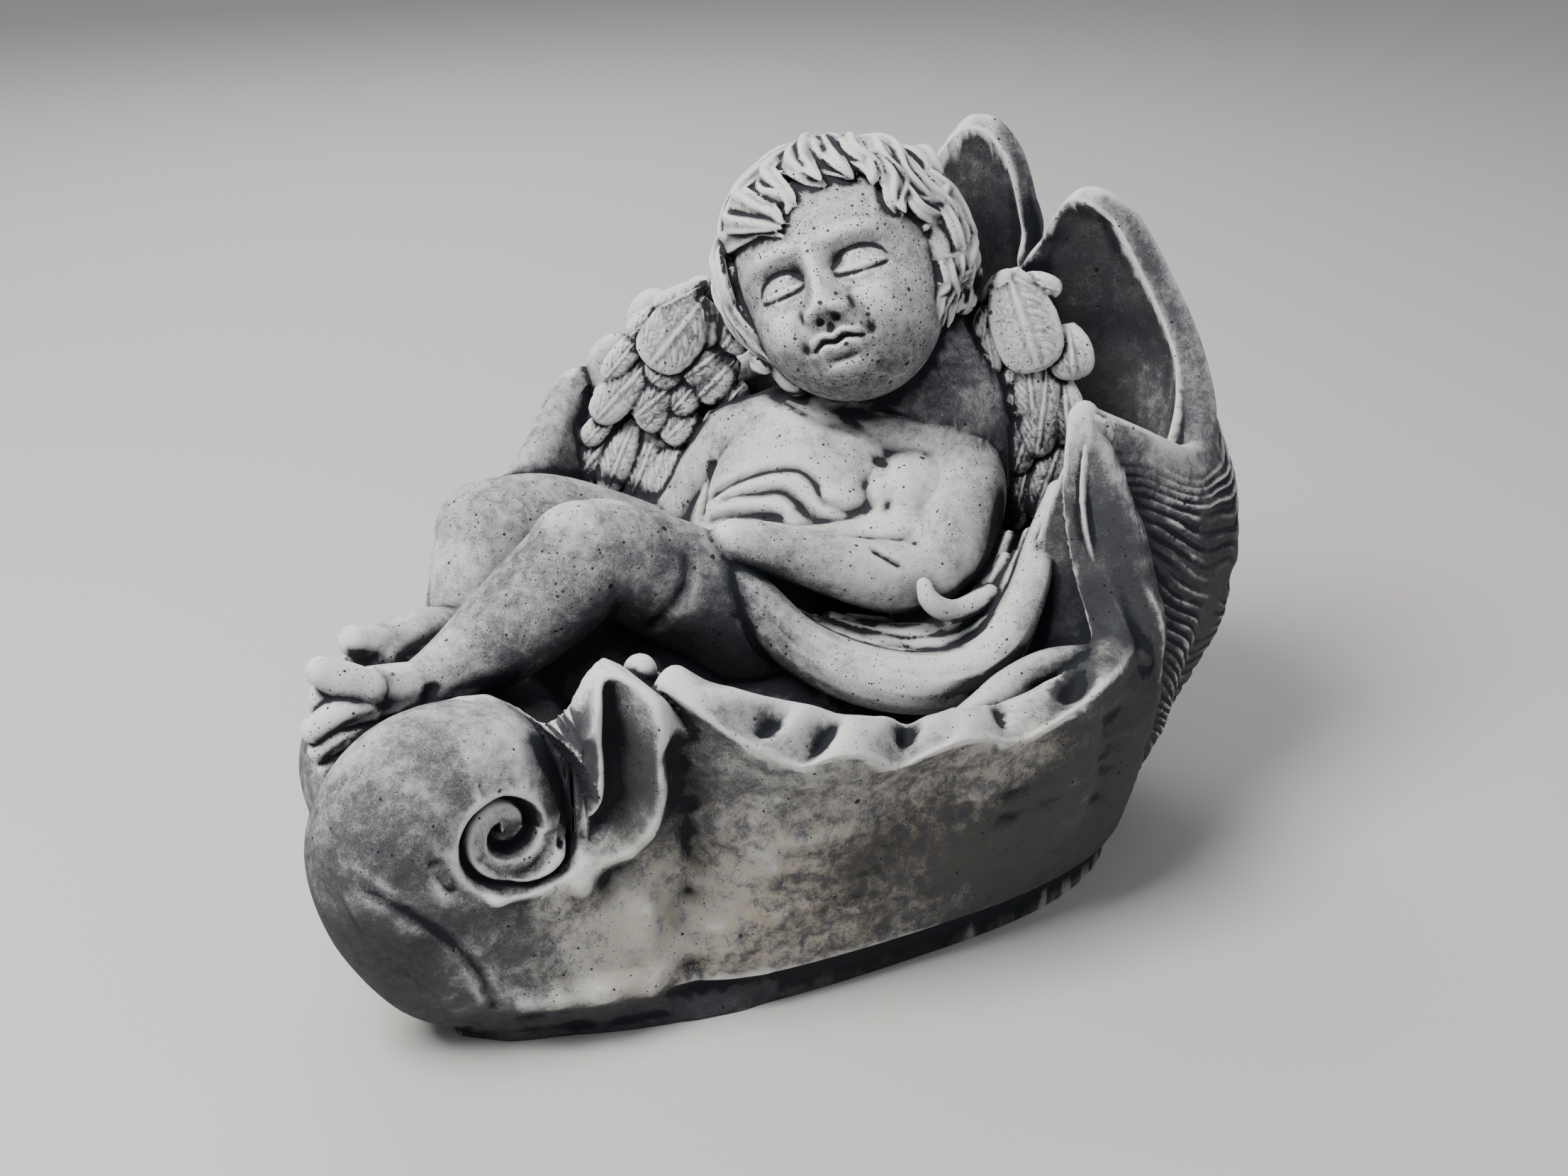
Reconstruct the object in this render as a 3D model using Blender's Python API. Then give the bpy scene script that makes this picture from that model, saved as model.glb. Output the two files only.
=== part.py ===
"""A cherub asleep in a scrolled shell: a garden statue cast in one piece of concrete.

The whole figure is one free form, laid out in statue units. One unit is the statue's length divided
by unitsLong, so the pose and the carving are shares of that length. X runs from the scroll, under
the feet, to the head. The near side is -Y, and Z is up, with the underside on Z = 0. Every form is a
closed surface, and the forms are fused into one solid.
"""

import bmesh
import bpy
import numpy as np
from mathutils import Matrix

# driving sizes, in metres
statueLength = 0.405  # from the scroll's front to the back of the head end
shellWall = 0.014  # the shell's wall at its rim
footBand = 0.016  # height of the band round the underside
fuseStep = 0.0022  # the step at which the forms are fused

# the statue's own units
unitsLong = 422.0
unit = statueLength / unitsLong
centreShift = (2.0, -5.8, 0.0)  # from the layout's zero to the middle of the footprint

# the cast concrete
stoneColour = (0.34, 0.34, 0.34, 1.0)
stoneRoughness = 0.88

mostTriangles = 9400
relaxSteps = 2

forms = []  # (points, triangles) of every closed form


def addRings(rings):
    """Rings of points, each of the same count, joined into one closed form with a fan at either end."""
    rings = np.asarray(rings, float)
    count, around = rings.shape[:2]
    points = np.vstack([rings.reshape(-1, 3), rings[0].mean(0), rings[-1].mean(0)])
    row = np.arange(count - 1)[:, None] * around
    here = np.arange(around)
    there = (here + 1) % around
    a, b = row + here, row + there
    sides = [np.stack([a, b, b + around], -1), np.stack([a, b + around, a + around], -1)]
    last = (count - 1) * around
    first = np.full(around, count * around)
    caps = [np.stack([there, here, first], -1), np.stack([last + here, last + there, first + 1], -1)]
    forms.append((points, np.concatenate([part.reshape(-1, 3) for part in sides + caps])))


def unitLong(vectors):
    """The same directions at length one."""
    return vectors / np.linalg.norm(vectors, axis=-1, keepdims=True)


def smoothThrough(knots, steps):
    """Rows read evenly from a Catmull-Rom curve that passes through the rows of knots."""
    rows = np.asarray(knots, float)
    padded = np.vstack([2 * rows[0] - rows[1], rows, 2 * rows[-1] - rows[-2]])
    along = np.linspace(0, len(rows) - 1, steps)
    index = np.minimum(along.astype(int), len(rows) - 2)
    t = (along - index)[:, None]
    a, b, c, d = (padded[index + k] for k in range(4))
    return 0.5 * (2 * b + (c - a) * t + (2 * a - 5 * b + 4 * c - d) * t**2 + (3 * b - a - 3 * c + d) * t**3)


def tube(knots, side=(0, 0, 1), flat=1.0, around=14, steps=0):
    """A limb along knots of (x, y, z, radius), with round ends. Flat squeezes it along its side."""
    rows = smoothThrough(knots, steps or 6 * len(knots))
    centres, radii = rows[:, :3], np.maximum(rows[:, 3], 0.4)
    tangents = unitLong(np.gradient(centres, axis=0))
    rounding = np.radians([82, 58, 30])[:, None]
    head = centres[0] - tangents[0] * radii[0] * np.sin(rounding)
    tail = centres[-1] + tangents[-1] * radii[-1] * np.sin(rounding[::-1])
    shrink = np.cos(rounding[:, 0])
    centres = np.vstack([head, centres, tail])
    radii = np.concatenate([radii[0] * shrink, radii, radii[-1] * shrink[::-1]])[:, None, None]
    tangents = np.vstack([np.repeat(tangents[:1], 3, 0), tangents, np.repeat(tangents[-1:], 3, 0)])
    side = np.asarray(side, float)
    across = unitLong(side - tangents * (tangents @ side)[:, None])
    other = np.cross(tangents, across)
    turn = (2 * np.pi * np.arange(around) / around)[None, :, None]
    section = flat * across[:, None] * np.cos(turn) + other[:, None] * np.sin(turn)
    addRings(centres[:, None] + radii * section)


def egg(centre, radii, axes=None, cuts=12):
    """An egg of three half widths, turned so that its axes lie along the columns of axes."""
    polar = (np.pi * np.arange(1, cuts) / cuts)[:, None]
    turn = np.pi * np.arange(2 * cuts) / cuts
    ball = np.stack([np.sin(polar) * np.cos(turn), np.sin(polar) * np.sin(turn), np.cos(polar) + 0 * turn], -1)
    turned = ball * radii @ (np.eye(3) if axes is None else axes).T
    addRings(np.asarray(centre, float) + turned)


def bell(gap, width):
    """One where the gap is nothing, falling smoothly away over a few widths."""
    return np.exp(-((gap / width) ** 2))


def ease(value):
    """From nothing at 0 to one at 1, level at both ends."""
    value = np.clip(value, 0, 1)
    return value * value * (3 - 2 * value)


# The shell, round the upright line through shellMiddle. Its wall: angle, reach half way up, reach of
# the rim, height of the rim. Angles run from the head end, and the near side is below zero.
shellMiddle = np.array([20.0, 4.0])
shellFoot = {"head": 122.0, "scroll": 193.0, "near": 92.0, "far": 86.0, "power": 2.6}
wallRows = (
    (-180, 196, 190, 56), (-166, 184, 178, 52), (-154, 156, 152, 60), (-149, 150, 157, 116),
    (-145, 145, 157, 148), (-139, 138, 151, 144), (-131, 128, 142, 130), (-125, 121, 134, 110),
    (-119, 116, 129, 117), (-112, 111, 121, 103), (-106, 109, 121, 110), (-98.5, 108, 117, 99),
    (-92, 109, 121, 111), (-86, 110, 118, 102), (-80, 113, 123, 111), (-74, 117, 122, 104),
    (-67, 122, 129, 114), (-55, 132, 134, 117), (-46, 144, 141, 122), (-41, 150, 143, 126),
    (-37, 156, 134, 160), (-33, 161, 120, 192), (-30, 165, 118, 197), (-26, 170, 130, 186),
    (-20, 173, 152, 168), (-16, 177, 162, 162), (-11, 180, 166, 180), (-6, 181, 162, 206),
    (-1, 182, 150, 240), (3, 184, 144, 258), (7, 183, 138, 258), (11, 181, 134, 244),
    (15, 178, 138, 222), (18, 176, 140, 232), (22, 172, 138, 266), (27, 167, 134, 279),
    (32, 162, 131, 279), (37, 156, 130, 264), (42, 150, 131, 236), (48, 144, 134, 205),
    (58, 134, 132, 184), (70, 124, 126, 178), (82, 119, 122, 166), (96, 117, 122, 166),
    (108, 119, 127, 178), (114, 121, 129, 182), (124, 125, 133, 168), (133, 130, 137, 158),
    (144, 140, 147, 140), (153, 152, 158, 122), (160, 164, 168, 88), (168, 184, 180, 58), (180, 196, 190, 56),
)
# Folds on the outside: angle at the rim, how far it stands out, half width, lean of the angle with
# the depth below the rim (degrees for each unit), lowest and highest place
wallFolds = (
    (-149.0, 4, 2.8, -0.10, 40, 150), (-144.5, -9, 3.2, -0.13, 46, 135), (-139.5, 4, 2.8, -0.13, 40, 128),
    (-133.5, -5, 4.0, -0.13, 44, 116), (-64, 7, 9, 0.0, 20, 120), (-50, -7, 5, 0.0, 20, 130),
    (-41, 7, 6, 0.0, 20, 190), (-25, -12, 6.5, 0.0, 20, 190), (-6, 8, 12, 0.0, 20, 260),
    (15, -8, 5, 0.0, 40, 240), (31, 7, 12, 0.0, 30, 290), (49, -6, 8, 0.0, 30, 210), (66, 5, 12, 0.0, 20, 190),
    (86, -6, 7, 0.0, 20, 180), (110, 6, 12, 0.0, 20, 190), (134, -5, 9, 0.0, 20, 180),
)
# The stone that fills the inside of the wall beside the folded wing
innerFill = {"angle": -16.0, "width": 19.0, "depth": 34.0, "top": 200.0}


def shell(columns=420, up=56, down=22):
    """The shell's wall. Each upright column runs from under the floor, up the outside along a curve
    through the foot band, the belly and the rim, over the rim, and down the inside to its floor."""
    angle = np.linspace(-180, 180, columns, endpoint=False)
    rows = np.array(wallRows, float)
    spread = np.exp(-np.linspace(-2, 2, 9) ** 2)
    spread /= spread.sum()

    def between(column):
        values = np.interp(angle, rows[:, 0], rows[:, column])
        wrapped = np.concatenate([values[-4:], values, values[:4]])
        return np.convolve(wrapped, spread, "valid")

    belly, rim, top = between(1), between(2), between(3)
    c, s = np.cos(np.radians(angle)), np.sin(np.radians(angle))
    along = np.where(c > 0, shellFoot["head"], shellFoot["scroll"])
    wide = np.where(s < 0, shellFoot["near"], shellFoot["far"])
    power = shellFoot["power"]
    foot = ((np.abs(c) / along) ** power + (np.abs(s) / wide) ** power) ** (-1 / power)
    band = footBand / unit
    bellyAt = np.minimum(112.0, 0.70 * top)

    share = np.linspace(0, 1, up)[:, None]
    height = share * top
    rising = np.clip((height - band) / (bellyAt - band), 0, 1)
    closing = np.clip((height - bellyAt) / (top - bellyAt), 0, 1)
    low = foot + 2.0 * ease(height / band)
    reach = low + (belly - low) * (1 - (1 - rising) ** 1.8)
    reach = np.where(height > bellyAt, belly + (rim - belly) * (0.25 * closing + 0.75 * closing**1.9), reach)
    for at, out, width, lean, lowest, highest in wallFolds:
        gap = (angle - at + lean * (height - 110) * -1 + 180) % 360 - 180
        window = ease((height - lowest) / 25) * ease((highest - height) / 12)
        reach = reach + out * bell(gap, width) * window

    wall = shellWall / unit
    thick = np.full(columns, wall)
    outside = np.stack([reach, height], -1)
    lip = []
    for over, lift in ((0.22, 0.24), (0.50, 0.32), (0.80, 0.22), (1.0, 0.0)):
        lip.append(np.stack([reach[-1] - over * thick, top + lift * thick], -1))
    floor = 40.0
    sink = np.linspace(0.04, 1, down)[:, None]
    inHeight = top + (floor - top) * sink
    outReach = np.stack([np.interp(inHeight[:, k], height[:, k], reach[:, k]) for k in range(columns)], 1)
    filled = innerFill["depth"] * bell(angle - innerFill["angle"], innerFill["width"]) * ease((innerFill["top"] - inHeight) / 90)
    inner = (outReach - thick * (1.0 + 0.5 * sink)) * (1 - 0.28 * sink**3) - filled
    inside = np.stack([inner, inHeight], -1)
    under = np.stack([foot * np.array([0.2, 0.6])[:, None], np.zeros((2, columns))], -1)
    ending = np.stack([inner[-1] * np.array([0.6, 0.2])[:, None], np.full((2, columns), floor)], -1)
    profile = np.concatenate([under, outside, np.stack(lip), inside, ending])
    x = shellMiddle[0] + profile[..., 0] * c
    y = shellMiddle[1] + profile[..., 0] * s
    addRings(np.stack([x, y, profile[..., 1]], -1))


# The scroll, round a line through its eye: outer reach by turn, and the groove's reach as it winds in
eye = np.array([-150.0, 92.0])
scrollReach = ((-90, 93), (-60, 72), (-30, 46), (-8, 32), (12, 30), (33, 33), (55, 38), (73, 41), (90, 43),
               (115, 50), (140, 57), (180, 63), (205, 66), (230, 74), (250, 86), (270, 93))
grooveReach = ((0, 30), (45, 24), (90, 19), (180, 15.8), (270, 14.4), (360, 11.2), (450, 7.2), (540, 4.6), (630, 2.4))
# Its two drums: size, middle plane and half width
scrollDrums = ((1.0, -41.0, 30.0), (0.74, 6.0, 44.0))


def scroll(size, plane, width, turns=150, out=60):
    """A drum about the eye. Both ends are domed, and a groove winds into each of them with the whorl
    inside it sinking as it turns."""
    turn = np.linspace(-90, 270, turns, endpoint=False)
    knots = np.array(scrollReach, float)
    reach = np.interp(turn, knots[:, 0], knots[:, 1]) * size
    reach = np.convolve(np.concatenate([reach[-5:], reach, reach[:5]]), np.ones(11) / 11, "valid")
    share = np.linspace(0.012, 1, out)[:, None] ** 0.85
    radius = share * reach
    dome = (1 - np.minimum(share, 1) ** 2.6) ** (1 / 2.2)
    grooves = np.array(grooveReach, float)
    first = (-turn) % 360
    sunk = np.zeros_like(radius)
    cut = np.zeros_like(radius)
    for lap in range(2):
        wound = first + 360 * lap
        at = np.interp(wound, grooves[:, 0], grooves[:, 1]) * size
        live = (wound < 625) * 1.0
        inside = ease((at - radius) / 3.0 + 0.5)
        sunk = np.maximum(sunk, inside * live * np.clip(wound, 0, 620) / 620 * 13)
        cut = np.maximum(cut, live * bell(radius - at, 1.9 if lap == 0 else 1.5) * (4.5 if lap == 0 else 2.5))
    fade = ease((reach - radius) / 6 + 0.35)
    half = width * dome - (sunk + cut) * fade
    x, z = eye[0] + radius * np.cos(np.radians(turn)), eye[1] + radius * np.sin(np.radians(turn))
    near = np.stack([x, plane - half, z], -1)
    far = np.stack([x, plane + half, z], -1)[::-1]
    addRings(np.concatenate([near, far[1:]]))


# The head: its middle, its size, the way it looks and how far the crown leans
head = {"middle": (51.0, 40.0, 233.0), "size": 1.06, "look": (-0.710, -0.596, 0.375), "lean": 25.0}


def headAxes():
    """Columns: to the head's left, up through the crown, and out of the face."""
    out = unitLong(np.array(head["look"]))
    left = unitLong(np.cross(np.array([0.0, 0.0, 1.0]), out))
    up = np.cross(out, left)
    lean = np.radians(head["lean"])
    crown = up * np.cos(lean) - left * np.sin(lean)
    return np.stack([np.cross(crown, out), crown, out], 1)


axesOfHead = headAxes()


def onHead(points):
    """Places given as (left, up, out) from the head's middle."""
    return np.array(head["middle"]) + head["size"] * np.asarray(points, float) @ axesOfHead.T


def headEgg(centre, radii, cuts=10):
    egg(onHead(centre), np.array(radii) * head["size"], axesOfHead, cuts)


def face():
    """A calm sleeping child's face on plain proportions, with the eyes a little under half way up."""
    headEgg((0, 6, -6), (42, 43, 43), 20)
    headEgg((0, -12, 5), (36, 36, 33), 18)
    headEgg((0, 10, 13), (32, 25, 25), 14)
    headEgg((0, -33, 21), (14, 10, 12.5))
    headEgg((0, -40, 6), (23, 10, 20))
    for side in (-1, 1):
        headEgg((side * 19, -18, 19), (16, 16, 16))
        headEgg((side * 15.5, 0.0, 30.5), (9.0, 4.8, 6.0))
        headEgg((side * 15.5, 9.0, 31.0), (12, 3.4, 5.4))
        headEgg((side * 4.6, -12.6, 40.0), (3.6, 3.2, 4.2), 8)
    headEgg((0, -3, 35), (4.2, 10, 6))
    headEgg((0, -11.2, 41.5), (5.2, 4.8, 6.4))
    headEgg((0, -21.0, 36.8), (8.4, 2.9, 5.0), 8)
    headEgg((0, -27.0, 35.4), (6.8, 3.0, 5.0), 8)
    neck = onHead((0, -30, -4))
    tube([(*neck, 20), (60, 42, 186, 21), (56, 40, 166, 25)], side=(1, 0, 0))


def overSkull(polar, turn, lift):
    """Places over the skull: degrees down from the crown, degrees round it from the brow, and lift."""
    tilt = np.radians(-14)
    p, t = np.radians(polar), np.radians(turn)
    x, y, z = np.sin(p) * np.sin(t), np.cos(p), np.sin(p) * np.cos(t)
    y, z = y * np.cos(tilt) - z * np.sin(tilt), y * np.sin(tilt) + z * np.cos(tilt)
    return onHead(np.stack([x * (42 + lift), 6 + y * (43 + lift), -6 + z * (43 + lift)], -1))


def lock(polar, turn, length, hand, thick, swing=9.0, sweepBy=6.0):
    """One wavy lock that runs down from a polar angle, swinging to either side as it goes."""
    share = np.linspace(0, 1, 8)
    along = polar + length * share
    aside = hand * (swing * np.sin(share * np.pi * 1.7) + sweepBy * share) / np.maximum(np.sin(np.radians(along)), 0.4)
    radius = thick * head["size"] * (0.45 + 0.75 * np.sin(np.pi * np.minimum(share * 0.9 + 0.12, 1)))
    points = overSkull(along, turn + aside, 2.6 + 1.4 * np.sin(share * 6.0))
    outward = overSkull(polar + length / 2, turn, 0) - np.array(head["middle"])
    tube(np.column_stack([points, radius]), side=outward, flat=0.78, around=10, steps=18)


# Rings of locks: degrees down from the crown, how many, how long, turn of the first
lockRings = ((4, 7, 34, 0), (32, 12, 32, 14), (58, 15, 32, 0), (84, 15, 28, 11), (106, 14, 26, 0))
# Locks of the fringe: turn, length, and the side that they sweep to
fringe = ((-52, 33, -1), (-36, 30, -1), (-19, 24, -1), (-2, 22, -1), (14, 22, 1), (30, 25, 1), (47, 32, 1), (62, 40, 1))


def hair():
    """A cap of hair with rings of wavy locks: short at the brow, long over the ears and the nape."""
    headEgg((0, 9, -9), (43.5, 43.0, 42.5), 18)
    for polar, count, length, offset in lockRings:
        for k in range(count):
            turn = offset + 360 * k / count
            facing = abs((turn + 180) % 360 - 180)
            if (polar > 40 and facing < 56) or (polar > 98 and facing < 72):
                continue
            hand = 1 if k % 2 else -1
            lock(polar, turn, length, hand, 5.6)
    for turn, length, hand in fringe:
        lock(31, turn, length, hand, 6.2, 8.0, 11.0)


def torso():
    """The trunk, with a full chest, the soft rolls of the belly and round shoulders."""
    across = (0.80, -0.60, 0.0)
    tube([(6, 42, 84, 34), (14, 40, 104, 37), (24, 40, 126, 37), (40, 41, 148, 37), (54, 42, 166, 32), (60, 42, 178, 20)],
         side=across, flat=1.08, around=22, steps=24)
    egg((34, 17, 150), (19, 17, 15))
    egg((62, -1, 152), (17, 15, 15))
    tube([(-4, 20, 122, 7), (14, 6, 128, 9.5), (34, -2, 132, 9), (50, -6, 136, 6)])
    tube([(-10, 16, 112, 7), (8, 1, 118, 9.5), (30, -6, 122, 8)])
    tube([(24, 66, 160, 19), (44, 46, 168, 19), (80, 14, 162, 20)])


def arms():
    """The left arm lies bent across the lap, and the right one hangs behind the knee."""
    tube([(84, 12, 160, 20), (76, -2, 148, 20), (62, -16, 136, 18.5), (49, -23, 129, 16)])
    tube([(56, -19, 130, 15), (36, -24, 131, 14.5), (12, -22, 140, 12.5), (-10, -14, 149, 10.5), (-26, -6, 153, 9)])
    tube([(20, 70, 160, 18), (9, 74, 148, 15), (-2, 76, 134, 13), (-18, 70, 122, 11)])


def legs():
    """Both knees are up. The near shin crosses over the far one, and the feet rest on the scroll."""
    tube([(4, 16, 94, 31), (-18, 8, 112, 29), (-44, 4, 134, 25), (-72, 3, 153, 22), (-86, 3, 158, 20)], around=18)
    tube([(-84, 3, 156, 21), (-98, 2, 146, 21), (-120, 1, 133, 18.5), (-142, 0, 123, 13.5), (-158, 0, 117, 11)], around=16)
    tube([(10, 66, 90, 29), (-28, 74, 112, 27), (-66, 77, 134, 24), (-92, 76, 140, 22)], around=18)
    tube([(-92, 75, 139, 21.5), (-102, 67, 129, 19), (-112, 56, 117, 15), (-120, 48, 110, 12)], around=14)


def toes(ball, step, size, point):
    """A row of five toes beside the ball of a foot, the first the largest."""
    point = unitLong(np.array(point, float))
    for k in range(5):
        root = np.array(ball, float) + np.array(step, float) * k
        thick = size * (0.92 if k == 0 else 0.66 - 0.05 * k)
        tip = root + point * size * (1.9 if k == 0 else 1.5 - 0.12 * k)
        tube([(*root, thick), (*(root + tip) / 2, thick * 0.95), (*tip, thick * 0.86)], around=8, steps=6)


def feet():
    tube([(-150, -2, 118, 12), (-163, 1, 117, 12.5), (-175, 6, 115, 12), (-182, 9, 113, 10)], flat=1.0, around=12)
    toes((-183, 17, 120), (0.2, -5.2, -3.4), 7.0, (-0.85, -0.05, -0.42))
    tube([(-120, 48, 110, 12.5), (-135, 43, 112, 12), (-148, 40, 114, 11)], around=12)
    toes((-152, 38, 117), (-0.4, -2.0, -3.6), 6.8, (-0.95, 0.15, 0.35))


# The wings, each in a plane of its own: its middle, the way across it and the way up it. Feathers:
# root across and up, tip across and up, half width, how far it stands off the plane
wings = {
    "right": {
        "middle": (-8.0, 97.0, 181.0), "across": (0.866, -0.50, 0.0), "up": (0.02, 0.30, 0.95),
        "blade": ((22, 34, 9), (2, 26, 11), (-14, 6, 12), (-16, -22, 10), (4, -20, 12), (16, 4, 14)),
        "feathers": (
            (10, -6, -24, -46, 5.2, 1), (14, -10, -13, -46, 5.0, 2), (20, -12, -1, -48, 5.4, 1), (26, -16, 10, -52, 6.0, 2),
            (28, 0, 20, -34, 5.0, 2), (2, 4, -27, -24, 6.0, 5), (10, 6, -10, -22, 6.6, 5), (20, 4, 4, -24, 6.4, 5),
            (28, 8, 16, -16, 6.0, 5), (32, 14, 26, -10, 5.0, 5), (-2, 22, -26, 0, 5.4, 8), (10, 22, -10, -4, 7.0, 8),
            (20, 18, 8, -4, 6.4, 8), (28, 20, 22, 2, 5.4, 8), (10, 36, -16, 14, 6.0, 9), (24, 36, 0, 14, 9.0, 11),
            (32, 34, 18, 18, 7.6, 10), (26, 44, 4, 35, 4.6, 8),
        ),
    },
    "left": {
        "middle": (112.0, 2.0, 188.0), "across": (0.866, -0.50, 0.0), "up": (0.10, 0.16, 0.98),
        "blade": ((-6, 34, 9), (0, 20, 11), (4, 2, 11), (2, -18, 10), (-8, -40, 7)),
        "feathers": (
            (4, -14, -8, -56, 5.0, 1), (12, -10, 4, -44, 5.0, 0), (0, 0, -4, -34, 6.0, 4), (12, 6, 8, -24, 6.0, 3),
            (2, 20, -6, -12, 5.6, 6), (14, 22, 12, -8, 6.4, 5), (-4, 42, 2, 4, 10.5, 9), (14, 34, 18, 2, 6.4, 6),
            (-8, 46, 10, 43, 5.0, 6),
        ),
    },
}


def feather(root, tip, half, normal, thick=4.2):
    """A blunt leaf from root to tip: a flattened egg that is widest beyond its middle."""
    along = tip - root
    length = np.linalg.norm(along)
    along = along / length
    across = np.cross(along, normal)
    share = np.array([0.0, 0.12, 0.3, 0.5, 0.68, 0.84, 0.95, 1.0])
    width = half * np.array([0.35, 0.62, 0.88, 1.0, 1.0, 0.86, 0.52, 0.12])
    depth = thick * np.array([0.5, 0.8, 1.0, 1.0, 0.9, 0.72, 0.5, 0.2])
    turn = (2 * np.pi * np.arange(10) / 10)[None, :, None]
    centres = root + along * length * share[:, None] + normal * (1.6 * np.sin(np.pi * share))[:, None]
    section = across * np.cos(turn) * width[:, None, None] + normal * np.sin(turn) * depth[:, None, None]
    addRings(centres[:, None] + section)


def wing(plan):
    """A thick blade behind, and feathers that lie over it like tiles, the upper rows on top."""
    middle = np.array(plan["middle"])
    across = unitLong(np.array(plan["across"]))
    up = np.array(plan["up"]) - across * (across @ np.array(plan["up"]))
    up = unitLong(up)
    normal = np.cross(across, up)
    for u, v, size in plan["blade"]:
        egg(middle + across * u + up * v - normal * 7, (size * 1.15, 9, size * 1.3), np.stack([across, normal, up], 1), 8)
    for rootU, rootV, tipU, tipV, half, lift in plan["feathers"]:
        root = middle + across * rootU + up * rootV + normal * lift
        tip = middle + across * tipU + up * tipV + normal * (lift - 3)
        facing = unitLong(normal - (tip - root) * (normal @ (tip - root)) / ((tip - root) @ (tip - root)))
        feather(root, tip, half, facing)


def drape():
    """The cloth: a knot at the waist, a thick roll slung below the arm, and folds beside it."""
    slung = [(-38, 4, 152, 6), (-23, -12, 134, 8), (-8, -26, 114, 9), (14, -42, 103, 9.5), (38, -56, 99, 9.5),
             (62, -60, 106, 8.5), (84, -52, 124, 7), (101, -41, 146, 6), (114, -30, 172, 5)]
    tube(slung, around=12, steps=48)
    for gap, thick in ((7.5, 5.5), (14.0, 5.0), (20.0, 4.5)):
        tube([(x + gap * 0.25, y + gap * 0.7, z + gap * 0.42, thick) for x, y, z, _ in slung[1:-2]], around=8, steps=36)
    tube([(x - 3, y - 3, z - 12, 5) for x, y, z, _ in slung[1:6]], around=8, steps=30)


def bedding():
    """Solid stone between the figure and the shell's floor."""
    egg((10, 20, 62), (96, 62, 46))
    egg((-60, 34, 84), (66, 52, 46))
    egg((70, 30, 90), (62, 62, 66))
    egg((92, 44, 150), (44, 52, 78))
    egg((-128, 20, 84), (46, 44, 30))


def rimPearl():
    """The small round knob inside the near rim, on a low ridge."""
    egg((-91, -58, 138), (5, 5, 5))
    tube([(-92, -56, 132, 8), (-84, -52, 118, 10), (-76, -46, 100, 12)])


def fusedForms():
    """All the forms as one mesh, still overlapping, in metres about the middle of the footprint."""
    for make in (shell, bedding, torso, arms, legs, feet, face, hair, drape, rimPearl):
        make()
    for size, plane, width in scrollDrums:
        scroll(size, plane, width)
    for plan in wings.values():
        wing(plan)
    points, triangles, start = [], [], 0
    for form, corners in forms:
        points.append(form)
        triangles.append(corners + start)
        start += len(form)
    points = np.concatenate(points) + np.array(centreShift)
    # the forms reach under the floor, so that the cut leaves one flat underside
    points[:, 2] -= np.where(points[:, 2] <= 0.01, 6.0, 0.0)
    mesh = bpy.data.meshes.new("statue")
    mesh.from_pydata((points * unit).tolist(), [], np.concatenate(triangles).tolist())
    return mesh


def stoneMaterial():
    material = bpy.data.materials.new("cast_concrete")
    material.use_nodes = True
    shader = material.node_tree.nodes["Principled BSDF"]
    shader.inputs["Base Color"].default_value = stoneColour
    shader.inputs["Roughness"].default_value = stoneRoughness
    shader.inputs["Metallic"].default_value = 0.0
    return material


def groundCutter():
    """A block under the floor, which cuts the underside flat."""
    span, deep = statueLength * 2, 0.05
    bm = bmesh.new()
    bmesh.ops.create_cube(bm, size=1.0, matrix=Matrix.Translation((0, 0, -deep / 2)) @ Matrix.Diagonal((span, span, deep, 1)))
    mesh = bpy.data.meshes.new("ground_cutter")
    bm.to_mesh(mesh)
    bm.free()
    cutter = bpy.data.objects.new("ground_cutter", mesh)
    cutter.hide_render = True
    cutter.display_type = "WIRE"
    bpy.context.scene.collection.objects.link(cutter)
    return cutter


def main():
    for found in list(bpy.data.objects):
        bpy.data.objects.remove(found)
    statue = bpy.data.objects.new("statue", fusedForms())
    bpy.context.scene.collection.objects.link(statue)
    statue.data.materials.append(stoneMaterial())
    fuse = statue.modifiers.new("fuse", "REMESH")
    fuse.mode = "VOXEL"
    fuse.voxel_size = fuseStep
    fuse.use_smooth_shade = True
    relax = statue.modifiers.new("relax", "SMOOTH")
    relax.factor = 0.5
    relax.iterations = relaxSteps
    bpy.context.view_layer.update()
    fine = statue.evaluated_get(bpy.context.evaluated_depsgraph_get())
    fineCount = sum(len(polygon.vertices) - 2 for polygon in fine.data.polygons)
    thin = statue.modifiers.new("thin", "DECIMATE")
    thin.ratio = min(mostTriangles / fineCount, 1.0)
    flat = statue.modifiers.new("flat_underside", "BOOLEAN")
    flat.operation = "DIFFERENCE"
    flat.solver = "EXACT"
    flat.object = groundCutter()


main()
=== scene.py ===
import bmesh
import bpy
import numpy as np
from mathutils import Matrix, Vector


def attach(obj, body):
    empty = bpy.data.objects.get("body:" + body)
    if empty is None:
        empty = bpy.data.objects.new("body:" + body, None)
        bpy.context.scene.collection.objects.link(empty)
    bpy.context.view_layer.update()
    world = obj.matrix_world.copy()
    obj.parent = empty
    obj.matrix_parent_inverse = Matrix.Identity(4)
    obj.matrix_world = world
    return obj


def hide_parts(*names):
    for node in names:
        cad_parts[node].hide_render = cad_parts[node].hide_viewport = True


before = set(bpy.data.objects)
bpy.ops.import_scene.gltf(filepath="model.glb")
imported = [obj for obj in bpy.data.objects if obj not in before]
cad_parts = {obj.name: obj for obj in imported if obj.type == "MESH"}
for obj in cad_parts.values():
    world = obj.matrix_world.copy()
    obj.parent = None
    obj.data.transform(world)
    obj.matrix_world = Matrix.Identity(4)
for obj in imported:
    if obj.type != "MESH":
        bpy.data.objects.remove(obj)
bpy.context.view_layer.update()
print("frame loaded:", sorted(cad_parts))

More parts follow.
